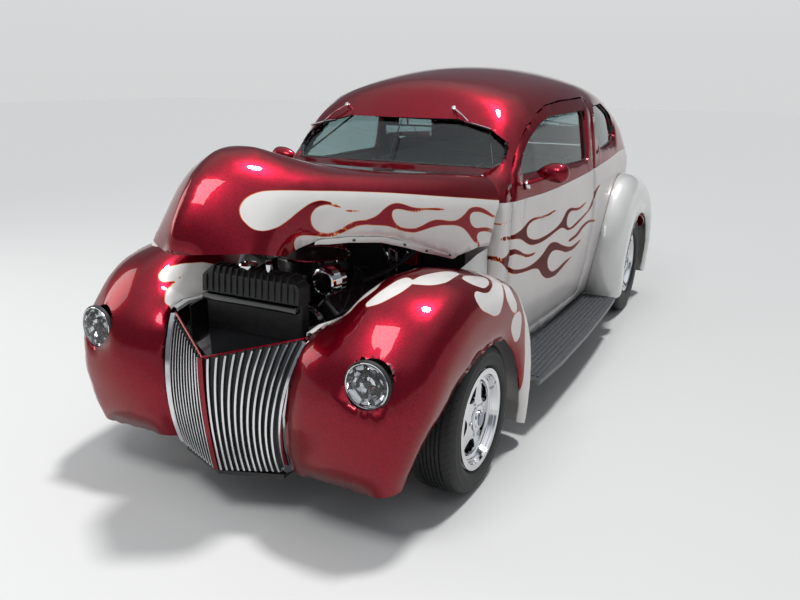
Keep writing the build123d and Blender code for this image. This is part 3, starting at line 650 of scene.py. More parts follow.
def evenShading(obj, rounds):
    # evens the shading across the skin's flat facets, up to its sharp edges
    parted = obj.data.copy()
    mesh = bmesh.new()
    mesh.from_mesh(parted)
    bmesh.ops.split_edges(mesh, edges=[e for e in mesh.edges if not e.smooth])
    mesh.to_mesh(parted)
    mesh.free()
    corners = np.zeros(len(parted.loops), np.int32)
    parted.loops.foreach_get("vertex_index", corners)
    edges = np.zeros(len(parted.edges) * 2, np.int32)
    parted.edges.foreach_get("vertices", edges)
    start, end = edges.reshape(-1, 2).T
    normals = np.zeros(len(parted.vertices) * 3, np.float32)
    parted.vertices.foreach_get("normal", normals)
    normals = normals.reshape(-1, 3).astype(float)
    for turn in range(rounds):
        total = normals.copy()
        np.add.at(total, start, normals[end])
        np.add.at(total, end, normals[start])
        normals = total / np.maximum(np.linalg.norm(total, axis=1), 1e-9)[:, None]
    obj.data.normals_split_custom_set(normals[corners].tolist())
    bpy.data.meshes.remove(parted)


def placesOf(obj):
    places = np.zeros(len(obj.data.vertices) * 3, np.float32)
    obj.data.vertices.foreach_get("co", places)
    return places.reshape(-1, 3).astype(float)


def storeValues(obj, name, values):
    attribute = obj.data.attributes.new(name, "FLOAT", "POINT")
    attribute.data.foreach_set("value", values.astype(np.float32))


def sideGaps(obj):
    # the cab's sides: pearl below the belt line, with licks of candy on it, darkened there as painted shade
    p = placesOf(obj)
    line = np.array(beltLine)
    belt = p[:, 2] - np.interp(p[:, 1], line[:, 0], line[:, 1])
    licks = nearestOf(p[:, 1:], flameOutlines["licks"])
    onSide = np.abs(p[:, 0]) > 0.5
    storeValues(obj, "paintGap", np.where(onSide, np.maximum(belt, -licks), belt))
    storeValues(obj, "stripeGap", np.where((belt < -0.02) & onSide, licks, 1.0))
    # painted shade on the licks below the belt: a half share gives the darker candy, rising to a greyer tone towards
    # the back
    storeValues(obj, "lickShadeAndGrey", (0.5 + 0.5 * np.clip((p[:, 1] + 0.13) / 0.30, 0, 1)) * (belt < -0.004))


def sideGapsAll(obj, distance):
    storeValues(obj, "paintGap", distance)
    storeValues(obj, "stripeGap", distance)
    storeValues(obj, "lickShadeAndGrey", np.zeros(len(obj.data.vertices)))


def hoodGaps(obj):
    sideGapsAll(obj, nearestOf(placesOf(obj)[:, 1:], flameOutlines["hood"]))


def fenderGaps(obj):
    # laid out round the wheel, ten and a half millimetres to a degree
    p = placesOf(obj)
    along, height = p[:, 1] - axles["front"][0], p[:, 2] - axles["front"][1]
    turned = np.degrees(np.arctan2(height, along)) * 0.0105
    across = np.abs(p[:, 0]) - np.hypot(along, height)
    outlines = [[(a * 10.5, v) for a, v in outline] for outline in flameOutlines["fender"]]
    places = np.stack([turned, across], 1)
    farGap = np.where(p[:, 2] > 0.6, nearestOf(np.abs(p[:, [1, 0]]) * (-1, 1), flameOutlines["farFender"]), 1.0)
    farGap = np.minimum(farGap, nearestOf(places, outlines[2:]))
    sideGapsAll(obj, np.where(p[:, 0] > 0, nearestOf(places, outlines), farGap))


def cabScore(middle, normal):
    return Vector((middle.x, 0, middle.z - 0.85)).normalized().dot(normal)


def wheelScore(axle):
    def score(middle, normal):
        side = math.copysign(1.0, middle.x)
        return Vector((side * 0.2, middle.y - axle[0], middle.z - axle[1])).normalized().dot(normal)
    return score


paintedNodes = {
    # name: cell, body, where to refine, what to store, finishes, how far a face looks outwards
    "hood": (0.018, "hood", lambda m: m.z < 1.30, hoodGaps, ("flames", "blackSatin"),
             lambda m, n: Vector((m.x, 0.1, m.z - 0.75)).normalized().dot(n)),
    "front_fenders": (0.022, "car", lambda m: True, fenderGaps, ("flames", "under"), wheelScore(axles["front"])),
    "rear_fenders": (0.035, "car", lambda m: True, None, ("pearl", "under"), wheelScore(axles["rear"])),
    "body_shell": (0.024, "car", lambda m: m.z < 1.2 and abs(m.x) > 0.56 and (m.z > 0.55 or m.z < 0.45), sideGaps,
                   ("flames", "trim"), cabScore),
    "door_left": (0.018, "door_left", lambda m: m.z < 1.2, sideGaps, ("flames", "trim"), cabScore),
    "door_right": (0.018, "door_right", lambda m: m.z < 1.2, sideGaps, ("flames", "trim"), cabScore),
    "trunk_lid": (0.025, "trunk_lid", lambda m: True, sideGaps, ("flames", "trim"),
                  lambda m, n: n.y),
}
for node, (cell, body, wanted, store, names, score) in paintedNodes.items():
    skin = copyNode(node)
    refine(skin, cell, wanted)
    if node == "body_shell":
        refine(skin, 0.05, lambda m: True)
    pick(skin)
    bpy.ops.object.shade_smooth_by_angle(angle=math.radians(34))
    roundOff(skin, 45, 50 if node in ("hood", "front_fenders", "rear_fenders") else 0,
             nearLamp if node == "front_fenders" else None)
    if store:
        store(skin)
    evenShading(skin, 14)
    skin.data.materials.clear()
    for finish in names:
        skin.data.materials.append(finishes[finish])
    chooseFinish(skin, score)
    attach(skin, body)
    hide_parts(node)
    print("painted", node, len(skin.data.polygons), "faces")


def addSheet(rows, thickness):
    # a sheet through rows of points, thickened
    mesh = bpy.data.meshes.new("sheet")
    width = len(rows[0])
    faces = [(r * width + c, r * width + c + 1, (r + 1) * width + c + 1, (r + 1) * width + c)
             for r in range(len(rows) - 1) for c in range(width - 1)]
    mesh.from_pydata([point for row in rows for point in row], [], faces)
    obj = bpy.data.objects.new("sheet", mesh)
    bpy.context.scene.collection.objects.link(obj)
    closeUp(obj)
    applyModifier(obj, "SOLIDIFY", thickness=thickness, offset=0.0)
    closeUp(obj)
    return obj


# ---- grille: a dark sheet behind the bars as painted shade, chrome strips on the bars and a painted lip along the top ----
grilleSettings = {
    "rows": [((-0.652, 0.186), (0.252, -0.560, 0.200)), ((-0.692, 0.440), (0.267, -0.598, 0.456)),
             ((-0.697, 0.651), (0.317, -0.492, 0.716))],
    "setBack": 0.009,
    "lipRadius": 0.0065,
}


def grillePlace(share, height, back):
    # a point of the left wing: share across it, height from its foot to its top
    spots = []
    for (middleS, middleZ), (cornerX, cornerS, cornerZ) in grilleSettings["rows"]:
        spots.append(Vector((cornerX * share, at(middleS + (cornerS - middleS) * share),
                             middleZ + (cornerZ - middleZ) * share)))
    a, b, c = (height - 0.5) * (height - 1) * 2, -4 * height * (height - 1), 2 * height * (height - 0.5)
    return spots[0] * a + spots[1] * b + spots[2] * c + Vector((0, back, 0))


back = grilleSettings["setBack"]
grid = [[grillePlace(0.03 + 0.95 * i / 12, 0.01 + 0.98 * j / 16, back) for i in range(13)] for j in range(17)]
# painted shade: a dark sheet set behind the bars to darken the gaps between them
bothSides(addSheet(grid, 0.002), "grilleShadeSheet", finishes["under"], "car")
stripSection = [(-0.0044, -0.0010), (-0.0038, 0.0022), (0.0, 0.0034), (0.0038, 0.0022), (0.0044, -0.0010)]


def addStrip(share):
    # a rounded strip along the front of one upright bar, square to the wing
    loops = []
    for step in range(19):
        height = 0.004 + 0.978 * step / 18
        place = grillePlace(share, height, 0)
        across = (grillePlace(share + 0.02, height, 0) - grillePlace(share - 0.02, height, 0)).normalized()
        along = (grillePlace(share, height + 0.02, 0) - grillePlace(share, height - 0.02, 0)).normalized()
        out = across.cross(along).normalized()
        out *= math.copysign(1.0, -out.y)
        loops.append([place + across * x + out * (y + 0.0008) for x, y in stripSection])
    count = len(stripSection)
    walls = [(r * count + i, r * count + (i + 1) % count, (r + 1) * count + (i + 1) % count, (r + 1) * count + i)
             for r in range(len(loops) - 1) for i in range(count)]
    ends = [tuple(range(count)), tuple(range((len(loops) - 1) * count, len(loops) * count))]
    mesh = bpy.data.meshes.new("strip")
    mesh.from_pydata([place for loop in loops for place in loop], [], walls + ends)
    obj = bpy.data.objects.new("strip", mesh)
    bpy.context.scene.collection.objects.link(obj)
    closeUp(obj)
    return obj


bothSides(joinPieces([addStrip((i + 0.9) / 11.9) for i in range(11)]), "grilleStrips", finishes["chrome"], "car",
          angle=50)
lip = [grillePlace(share / 10, 1.0, 0.014) - Vector((0, 0, 0.003)) for share in range(11)]
bothSides(addTube(lip, grilleSettings["lipRadius"]), "grilleLip", finishes["candy"], "car")
print("grille dressed")

# ---- headlamps: chrome ring, a black ring of painted shade round it, faceted reflector, bulb shield and a domed lens ----
lampSettings = {
    "place": lampMiddle,
    "forward": (0.05, -1.0, 0.06),
    "ring": [(-0.006, 0.0755), (0.003, 0.0760), (0.0045, 0.0785), (0.002, 0.0805), (-0.006, 0.0810)],
    "shadeRing": [(-0.010, 0.0805), (-0.002, 0.0808), (0.0005, 0.0835), (-0.003, 0.0865), (-0.012, 0.0870)],
    # painted shade: a black ring for the dark gap round the lens
    "bowl": [(-0.008, 0.0755), (-0.012, 0.069), (-0.022, 0.056), (-0.031, 0.041), (-0.038, 0.026), (-0.041, 0.012)],
    "shield": [(-0.040, 0.0), (-0.040, 0.010), (-0.020, 0.0105), (-0.016, 0.009), (-0.014, 0.0)],
    "glass": [(0.0035, 0.0758), (0.0075, 0.060), (0.0100, 0.040), (0.0115, 0.020), (0.0120, 0.0),
              (0.0090, 0.0), (0.0085, 0.020), (0.0070, 0.040), (0.0045, 0.060), (0.0005, 0.0758)],
    "facets": 15,
}
lampPlace, lampForward = lampSettings["place"], lampSettings["forward"]
ring = addLathe(lampSettings["ring"], lampPlace, lampForward)
ringLeft, ringRight = bothSides(ring, "lampRing", finishes["chrome"], "car")
# painted shade: a black rubber ring round the lens stands for the dark gap where the lamp sits in the fender
bothSides(addLathe(lampSettings["shadeRing"], lampPlace, lampForward), "lampShadeRing", finishes["rubber"], "car")
bowl = addLathe(lampSettings["bowl"], lampPlace, lampForward, steps=lampSettings["facets"], closed=False)
rng = np.random.default_rng(7)
for vertex in bowl.data.vertices:
    reach = (vertex.co - Vector(lampPlace)).length
    if reach < 0.074:
        vertex.co += Vector(rng.uniform(-0.0035, 0.0035, 3))
applyModifier(bowl, "SOLIDIFY", thickness=0.001, offset=1.0)
bothSides(bowl, "lampBowl", finishes["chrome"], "car", angle=4)
shield = addLathe(lampSettings["shield"], lampPlace, lampForward, steps=24, closed=False)
bothSides(shield, "lampShield", finishes["blackSatin"], "car")
lensLeft, lensRight = bothSides(addLathe(lampSettings["glass"], lampPlace, lampForward, closed=False), "lampLens",
                                finishes["lens"], "car", angle=50)
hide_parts("headlamps")
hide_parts("headlamps")
print("lamps made")

# ---- wheels: a five-window disc, stepped rim and cap, and grooved tyres ----
wheelSettings = {
    "front": {"centre": 0.722, "half": 0.0975, "radius": 0.308},
    "rear": {"centre": 0.700, "half": 0.1175, "radius": 0.348},
    "steps": [(-0.0475, 0.1555), (-0.0395, 0.160), (-0.0395, 0.167), (-0.0315, 0.1695), (-0.0315, 0.1750),
              (-0.0195, 0.1785), (-0.0160, 0.1835), (-0.0140, 0.1850), (-0.0140, 0.2040), (-0.0165, 0.2075),
              (-0.0275, 0.2075), (-0.0525, 0.1800)],
    "disc": [(-0.0625, 0.0), (-0.0625, 0.1545), (-0.0495, 0.1545), (-0.0440, 0.1490), (-0.0400, 0.1300),
             (-0.0370, 0.0900), (-0.0300, 0.0720), (-0.0290, 0.0)],
    "hub": [(-0.0300, 0.0), (-0.0300, 0.0560), (-0.0230, 0.0545), (-0.0210, 0.0500), (-0.0210, 0.0400),
            (-0.0150, 0.0380), (-0.0120, 0.0340), (-0.0110, 0.0)],
    "badge": [(-0.0112, 0.0), (-0.0112, 0.0290), (-0.0098, 0.0285), (-0.0090, 0.0)],
    "window": [(0.086, -8), (0.086, 8), (0.094, 15), (0.120, 22.5), (0.138, 24), (0.146, 20), (0.1475, 0), (0.146, -20),
               (0.138, -24), (0.120, -22.5), (0.094, -15)],
}


def tyreProfile(half, radius):
    # half the section from the bead to the crown, with three grooves a side
    bead, crown = 0.1905, radius
    side = [(half - 0.025, bead), (half - 0.0245, bead + 0.018), (half - 0.012, bead + 0.026),
            (half - 0.004, bead + 0.034), (half - 0.0035, bead + 0.040), (half - 0.0008, bead + 0.046),
            (half - 0.0002, bead + 0.056), (half - 0.001, crown - 0.050), (half - 0.0035, crown - 0.038),
            (half - 0.0025, crown - 0.036), (half - 0.0065, crown - 0.024), (half - 0.0125, crown - 0.013),
            (half - 0.020, crown - 0.006), (half - 0.027, crown - 0.0035)]
    for share in (0.62, 0.36, 0.12):
        x, drop = (half - 0.03) * share, 0.0035 * share * share
        side += [(x + 0.0045, crown - drop - 0.0006), (x + 0.0035, crown - drop - 0.0065),
                 (x - 0.0025, crown - drop - 0.0065), (x - 0.0035, crown - drop - 0.0006)]
    return side + [(-x, r) for x, r in reversed(side)]


for end in ("front", "rear"):
    size, (axleY, axleZ, _) = wheelSettings[end], axles[end]
    outer = size["centre"] + size["half"]
    place, axis = (outer, axleY, axleZ), (1, 0, 0)
    disc = addLathe(wheelSettings["disc"], place, axis, steps=80, closed=False)
    outline = [(r, math.radians(a)) for r, a in wheelSettings["window"]]
    for spoke in range(5):
        turn = math.radians(36 + 72 * spoke)
        rows = [[(outer + x, axleY + r * math.cos(a + turn), axleZ + r * math.sin(a + turn)) for r, a in outline]
                for x in (-0.09, 0.02)]
        cutter = bpy.data.meshes.new("cutter")
        count = len(outline)
        walls = [(i, (i + 1) % count, count + (i + 1) % count, count + i) for i in range(count)]
        cutter.from_pydata(rows[0] + rows[1], [], walls + [tuple(range(count)), tuple(range(count, 2 * count))])
        tool = bpy.data.objects.new("cutter", cutter)
        bpy.context.scene.collection.objects.link(tool)
        closeUp(tool)
        applyModifier(disc, "BOOLEAN", object=tool, operation="DIFFERENCE")
        bpy.data.objects.remove(tool)
    applyModifier(disc, "BEVEL", width=0.0025, segments=2, limit_method="ANGLE", angle_limit=math.radians(50))
    parts = [disc, addLathe(wheelSettings["steps"], place, axis, steps=96),
             addLathe(wheelSettings["hub"], place, axis, closed=False)]
    for bolt in range(5):
        turn = math.radians(36 + 72 * bolt)
        spot = Vector((outer, axleY + 0.066 * math.cos(turn), axleZ + 0.066 * math.sin(turn)))
        parts.append(addRod(spot - Vector((0.034, 0, 0)), spot - Vector((0.024, 0, 0)), 0.0085, 6, 0.001))
    body = end + "_wheel_{side}"
    bothSides(joinPieces(parts), f"{end}WheelFace", finishes["chrome"], body, angle=30)
    bothSides(addLathe(wheelSettings["badge"], place, axis, closed=False), f"{end}WheelCap", finishes["cap"], body)
    middle = (size["centre"], axleY, axleZ)
    tyre = addLathe(tyreProfile(size["half"], size["radius"] - 0.0004), middle, axis, steps=120)
    tyreLeft, tyreRight = bothSides(tyre, f"{end}Tyre", finishes["tyre" + end.capitalize()], body,
                                    angle=40)
    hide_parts(f"tyre_{end}_left")
    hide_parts(f"tyre_{end}_right")
print("wheels made")

# ---- windows: rubber round each glass, a divider, wipers and the inside mirror ----
windowSettings = {"centre": (0, 0.2, 1.1), "rubber": 0.0055}


def rimLoops(node):
    # the outer outline of each window in a glass node
    skin = copyNode(node)
    mesh = bmesh.new()
    mesh.from_mesh(skin.data)
    sharp = [e for e in mesh.edges if len(e.link_faces) == 2 and e.calc_face_angle() > math.radians(50)]
    links = {}
    for edge in sharp:
        for vertex in edge.verts:
            links.setdefault(vertex.index, []).append(edge.other_vert(vertex).index)
    places = {v.index: v.co.copy() for v in mesh.verts}
    mesh.free()
    bpy.data.objects.remove(skin)
    loops, left = [], set(links)
    while left:
        here = left.pop()
        loop = [here]
        while True:
            ahead = [i for i in links[loop[-1]] if i in left]
            if not ahead:
                break
            loop.append(ahead[0])
            left.discard(ahead[0])
        if len(loop) > 8:
            loops.append([places[i] for i in loop])
    centre = Vector(windowSettings["centre"])
    far = {}
    for loop in loops:
        middle = sum(loop, Vector()) / len(loop)
        key = (round(middle.x / 0.25), round(middle.y / 0.3))
        reach = sum((p - centre).length for p in loop) / len(loop)
        if key not in far or reach > far[key][0]:
            far[key] = (reach, loop)
    return [loop for _, loop in far.values()]


def evenLoop(loop, spacing):
    # the loop's points at even distances, so that the rubber bends smoothly
    points = np.array([tuple(p) for p in loop] + [tuple(loop[0])])
    lengths = np.concatenate([[0], np.cumsum(np.linalg.norm(np.diff(points, axis=0), axis=1))])
    stations = np.linspace(0, lengths[-1], max(12, int(lengths[-1] / spacing)), endpoint=False)
    return [Vector([np.interp(s, lengths, points[:, axis]) for axis in range(3)]) for s in stations]


for node, body in (("windshield", "car"), ("rear_glass", "car"), ("quarter_glass", "car"),
                   ("door_glass_left", "door_left"), ("door_glass_right", "door_right")):
    tubes = [addTube(evenLoop(loop, 0.02), windowSettings["rubber"], closed=True) for loop in rimLoops(node)]
    print("rubber round", node, len(tubes))
    finishPiece(joinPieces(tubes), "rubber" + node.title().replace("_", ""), finishes["rubber"], body)
wiperSettings = {
    "lift": Vector((0, -0.0135, 0.0105)),
    "wipers": [  # pivot, arm end, then the blade's two ends
        ((-0.341, -0.667, 1.467), (-0.468, -0.693, 1.385), (-0.548, -0.703, 1.360), (-0.392, -0.696, 1.392)),
        ((0.275, -0.683, 1.465), (0.360, -0.691, 1.402), (0.335, -0.692, 1.405), (0.500, -0.694, 1.366)),
    ],
}
metal, blades = [], []
for wiper in wiperSettings["wipers"]:
    pivot, armEnd, bladeStart, bladeEnd = (Vector(p) + wiperSettings["lift"] for p in wiper)
    metal.append(addRod(pivot - wiperSettings["lift"] * 1.6, pivot + wiperSettings["lift"] * 0.4, 0.011, 24, 0.002))
    metal.append(addTube([pivot, pivot.lerp(armEnd, 0.5) + Vector((0, -0.006, 0.005)), armEnd], 0.0035))
    metal.append(addTube([bladeStart, bladeStart.lerp(bladeEnd, 0.5) + Vector((0, -0.005, 0.003)), bladeEnd], 0.0030))
    drop = Vector((0, 0.006, -0.004))
    blades.append(addTube([bladeStart + drop, bladeStart.lerp(bladeEnd, 0.5) + drop, bladeEnd + drop], 0.0035))
finishPiece(joinPieces(metal), "wiperArms", finishes["chrome"], "car")
finishPiece(joinPieces(blades), "wiperBlades", finishes["rubber"], "car")
divider = addTube([(0, -0.8395, 1.232), (0, -0.8050, 1.290), (0, -0.7690, 1.345), (0, -0.7170, 1.410)], 0.003)
finishPiece(divider, "windshieldDivider", finishes["rubber"], "car")
mirrorShell = addBox((-0.13, -0.648, 1.325), (0.13, -0.628, 1.385), 0.009, 4)
stalk = addRod((0, -0.638, 1.36), (0, -0.655, 1.432), 0.006)
finishPiece(joinPieces([mirrorShell, stalk]), "insideMirror", finishes["chrome"], "car")
print("windows dressed")

# ---- hood edge: a pale flange with bolts under the side of the open hood ----
hoodSettings = {
    "hinge": (0.550, 1.206), "open": 17,
    "edge": [  # station, height and x of the closed hood's edge, then the flange's drop and lean
        (-0.305, 0.775, 0.303, 0.004, 0.004), (-0.285, 0.787, 0.314, 0.011, 0.006), (-0.260, 0.794, 0.333, 0.014, 0.007),
        (-0.190, 0.814, 0.374, 0.015, 0.007), (-0.120, 0.826, 0.411, 0.015, 0.007), (-0.060, 0.836, 0.440, 0.015, 0.007),
        (0.000, 0.835, 0.467, 0.015, 0.007), (0.060, 0.834, 0.491, 0.015, 0.007), (0.120, 0.829, 0.515, 0.014, 0.007),
        (0.160, 0.825, 0.529, 0.013, 0.009), (0.200, 0.822, 0.543, 0.009, 0.012), (0.240, 0.819, 0.557, 0.006, 0.014),
        (0.290, 0.815, 0.571, 0.004, 0.014), (0.325, 0.812, 0.579, 0.002, 0.010)],
    "bolts": [(-0.175, 0.810, 0.382), (0.040, 0.828, 0.484), (0.155, 0.820, 0.527), (0.290, 0.821, 0.571)],
}


def openHood(station, height, x):
    # a place on the closed hood, swung open
    turn = math.radians(hoodSettings["open"])
    s, z = station - hoodSettings["hinge"][0], height - hoodSettings["hinge"][1]
    return Vector((x, at(hoodSettings["hinge"][0] + s * math.cos(turn) + z * math.sin(turn)),
                   hoodSettings["hinge"][1] - s * math.sin(turn) + z * math.cos(turn)))


rows = [[openHood(s, z + 0.006, x - 0.003), openHood(s, z - drop * 0.5, x - 0.002 - lean * 0.5),
         openHood(s, z - drop, x - 0.002 - lean)] for s, z, x, drop, lean in hoodSettings["edge"]]
bothSides(addSheet(rows, 0.0025), "hoodFlange", finishes["pearl"], "hood", angle=50)
bolts = []
for s, z, x in hoodSettings["bolts"]:
    spot = openHood(s, z, x - 0.006)
    bolts.append(addRod(spot, spot + Vector((0.010, -0.0015, 0.0015)), 0.0045, 6, 0.0008))
bothSides(joinPieces(bolts), "hoodBolts", finishes["blackSatin"], "hood")
ledgeLine = [(-0.476, 0.736, 0.335), (-0.407, 0.748, 0.339), (-0.330, 0.741, 0.340), (-0.250, 0.741, 0.350),
             (-0.152, 0.757, 0.374), (-0.043, 0.766, 0.406), (0.048, 0.764, 0.440), (0.164, 0.794, 0.512),
             (0.222, 0.806, 0.540), (0.339, 0.798, 0.556)]
rows = [[(x + 0.003, at(s), z - 0.003), (x - 0.010, at(s), z + 0.001), (x - 0.024, at(s), z - 0.004),
         (x - 0.026, at(s), z - 0.016)] for s, z, x in ledgeLine]
bothSides(addSheet(rows, 0.003), "bayLedge", finishes["pearl"], "car", angle=50)
panelRows = [(0.215, 0.533, 0.796, 0.808), (0.300, 0.543, 0.760, 0.803), (0.400, 0.562, 0.700, 0.835),
             (0.470, 0.578, 0.660, 0.860), (0.543, 0.598, 0.640, 0.880)]
rows = [[(x, at(s), low), (x + 0.002, at(s), (low + high) / 2), (x, at(s), high)] for s, x, low, high in panelRows]
bothSides(addSheet(rows, 0.003), "bayRearPanel", finishes["pearl"], "car", angle=50)
print("hood edge made")

# ---- engine bay: radiator ribs, cap, hoses, leads, and chrome on the engine ----
bay = {"ribs": 15, "ribHalf": 0.208, "ribRadius": 0.0048}
ribs = []
for rib in range(bay["ribs"]):
    x = bay["ribHalf"] * (2 * rib / (bay["ribs"] - 1) - 1)
    top = 0.9065 if abs(x) < 0.186 else 0.9065 - (abs(x) - 0.186)
    ribs.append(addTube([(x, at(-0.4125), 0.808), (x, at(-0.4060), min(0.872, top - 0.02)),
                         (x, at(-0.3900), top - 0.004), (x, at(-0.3700), top), (x, at(-0.3420), top)],
                        bay["ribRadius"]))
finishPiece(joinPieces(ribs), "radiatorRibs", finishes["blackSatin"], "car")
frameBars = [addBox((-0.225, at(-0.424), 0.770), (0.225, at(-0.396), 0.797), 0.004)]
finishPiece(joinPieces(frameBars), "radiatorFrame", finishes["blackGloss"], "car")
cap = addLathe([(0.0, 0.0), (0.0, 0.020), (0.012, 0.020), (0.012, 0.036), (0.018, 0.037), (0.025, 0.033), (0.028, 0.014),
                (0.032, 0.012), (0.034, 0.0)], (-0.030, at(-0.368), 0.904), (0, 0, 1), 48, closed=False)
bottle = addLathe([(0.0, 0.0), (0.0, 0.013), (0.030, 0.013), (0.036, 0.019), (0.042, 0.012), (0.044, 0.0)],
                  (0.070, at(-0.368), 0.904), (0, 0, 1), 32, closed=False)
lid = addLathe([(0.0, 0.148), (0.004, 0.150), (0.007, 0.157), (0.003, 0.161), (-0.004, 0.160), (-0.004, 0.152)],
               (0, at(0.040), 0.8835), (0, 0, 1), 96)
alternator = addLathe([(0.0, 0.0), (0.0, 0.045), (0.006, 0.055), (0.020, 0.058), (0.024, 0.053), (0.030, 0.058),
                       (0.036, 0.053), (0.042, 0.058), (0.048, 0.053), (0.054, 0.058), (0.084, 0.058), (0.094, 0.048),
                       (0.096, 0.0)], (0.205, at(-0.215), 0.845), (0.15, 1, 0), 48, closed=False)
bracket = addRod((0.205, at(-0.16), 0.80), (0.165, at(-0.14), 0.70), 0.010)
booster = addLathe([(0.0, 0.0), (0.0, 0.075), (0.018, 0.088), (0.045, 0.090), (0.060, 0.070), (0.070, 0.030),
                    (0.070, 0.0)], (0.150, at(0.568), 0.855), (0, -1, 0), 48, closed=False)
rods = [addRod((0.224, at(0.300), 0.700), (0.224, at(0.300), 0.885), 0.005),
        addRod((0.262, at(0.300), 0.700), (0.262, at(0.300), 0.870), 0.005),
        addRod((0.224, at(0.300), 0.885), (0.262, at(0.300), 0.870), 0.005)]
finishPiece(joinPieces([cap, bottle, lid, alternator, bracket, booster] + rods), "bayChrome", finishes["chrome"], "car")
hoses = [addTube([(0.110, at(-0.340), 0.860), (0.115, at(-0.280), 0.865), (0.075, at(-0.200), 0.830),
                  (0.045, at(-0.150), 0.780)], 0.020),
         addTube([(-0.150, at(-0.340), 0.500), (-0.160, at(-0.290), 0.480), (-0.120, at(-0.250), 0.540)], 0.018),
         addTube([(-0.200, at(0.480), 0.960), (-0.180, at(0.300), 0.930), (-0.120, at(0.180), 0.880)], 0.012),
         addTube([(0.290, at(0.540), 0.880), (0.300, at(0.420), 0.860), (0.250, at(0.250), 0.800),
                  (0.215, at(0.050), 0.780)], 0.012)]
for side in (-1, 1):
    for lead in range(4):
        s = -0.15 + lead * 0.125
        hoses.append(addTube([(side * 0.245, at(s), 0.690), (side * 0.262, at(s + 0.01), 0.735),
                              (side * 0.200, at(s * 0.6 + 0.12), 0.800), (side * 0.060, at(0.270), 0.790)], 0.0045))
hoses.append(addLathe([(0.0, 0.0), (0.0, 0.045), (0.05, 0.048), (0.07, 0.035), (0.08, 0.0)], (0, at(0.285), 0.735), (0, 0, 1),
                      32, closed=False))
finishPiece(joinPieces(hoses), "bayHoses", finishes["rubber"], "car")
boxes = [addBox((0.190, at(0.515), 0.760), (0.255, at(0.565), 0.825), 0.006),
         addBox((-0.260, at(0.515), 0.720), (-0.150, at(0.565), 0.840), 0.006)]
finishPiece(joinPieces(boxes), "bayBoxes", finishes["redLens"], "car")
print("engine bay dressed")

# ---- cab: stuffed seats, gauges, and details outside ----


def padShape(low, high, crown):
    # a crowned block, a little smaller than the space it will fill
    pad = addBox(low, high)
    editAll(pad)
    bpy.ops.mesh.subdivide(number_cuts=6)
    endEdit()
    applyModifier(pad, "BEVEL", width=crown, segments=3, limit_method="ANGLE")
    return pad


def stuffPad(pad, limit):
    # swells the pad with a pressure simulation, no point further than the limit
    applyModifier(pad, "REMESH", mode="VOXEL", voxel_size=0.0085)
    before = placesOf(pad)
    pick(pad)
    cloth = pad.modifiers.new("cloth", "CLOTH")
    cloth.settings.use_pressure = True
    cloth.settings.uniform_pressure_force = 4.0
    cloth.settings.effector_weights.gravity = 0.0
    cloth.point_cache.frame_end = 20
    for step in range(1, 21):
        bpy.context.scene.frame_set(step)
    bpy.ops.object.modifier_apply(modifier="cloth")
    bpy.context.scene.frame_set(1)
    moved = placesOf(pad) - before
    reach = np.linalg.norm(moved, axis=1)[:, None]
    moved *= np.minimum(1.0, limit / np.maximum(reach, 1e-9))
    pad.data.vertices.foreach_set("co", (before + moved).astype(np.float32).ravel())
    pad.data.update()
    return pad


def sewChannels(pad, axis, spacing, depth, face, sign):
    # presses sewn channels into the face that looks along +/- axis number face
    p = placesOf(pad)
    extent = p[:, face].max() if sign > 0 else p[:, face].min()
    near = np.clip(1 - np.abs(p[:, face] - extent) / 0.05, 0, 1)
    wave = np.abs(np.sin(np.pi * (p[:, axis] - p[:, axis].min()) / spacing))
    p[:, face] -= sign * depth * near * (1 - wave ** 0.5)
    pad.data.vertices.foreach_set("co", p.astype(np.float32).ravel())
    pad.data.update()


seatSettings = {
    "front_seat": {"base": ((0.012, at(1.215), 0.372), (0.528, at(1.588), 0.588)),
                   "back": ((0.012, at(1.612), 0.618), (0.528, at(1.708), 1.066))},
    "rear_seat": {"base": ((0.010, at(1.975), 0.372), (0.450, at(2.258), 0.588)),
                  "back": ((0.010, at(2.282), 0.618), (0.450, at(2.376), 1.106))},
    "swell": 0.010,
}
baseLow, baseHigh = seatSettings["front_seat"]["base"]
backLow, backHigh = seatSettings["front_seat"]["back"]
modelBase = stuffPad(padShape(baseLow, baseHigh, 0.03), seatSettings["swell"])
modelBack = stuffPad(padShape(backLow, backHigh, 0.03), seatSettings["swell"])
sewChannels(modelBase, 0, 0.0645, 0.008, 2, 1)
sewChannels(modelBack, 0, 0.0645, 0.008, 1, -1)
for seat in ("front_seat", "rear_seat"):
    for model, kind in ((modelBase, "base"), (modelBack, "back")):
        low, high = (Vector(c) for c in seatSettings[seat][kind])
        modelLow, modelHigh = (Vector(c) for c in seatSettings["front_seat"][kind])
        ratio = [(high - low)[i] / (modelHigh - modelLow)[i] for i in range(3)]
        turn = Matrix.Translation(low) @ Matrix.Diagonal((*ratio, 1)) @ Matrix.Translation(-modelLow)
        pad = copyPiece(model, turn=turn)
        for piece in bothSides(pad, seat.split("_")[0] + "Pad" + kind.title(), finishes["leather"], "car", 50):
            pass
bpy.data.objects.remove(modelBase)
bpy.data.objects.remove(modelBack)
print("seats stuffed")
gauges, bezels = [], []
for x, reach in ((0.34, 0.042), (0.22, 0.028), (0.46, 0.028), (0.14, 0.020), (0.06, 0.020)):
    spot = (x, at(0.7995), 1.065)
    bezels.append(addLathe([(0.0, reach), (0.007, reach + 0.001), (0.009, reach + 0.004), (0.0, reach + 0.007)], spot,
                           (0, 1, 0), 48))
    gauges.append(addLathe([(0.0, 0.0), (0.0, reach + 0.001), (0.002, reach + 0.001), (0.002, 0.0)], spot, (0, 1, 0), 48,
                           closed=False))
finishPiece(joinPieces(bezels), "gaugeBezels", finishes["chrome"], "car")
finishPiece(joinPieces(gauges), "gaugeFaces", finishes["gauge"], "car")
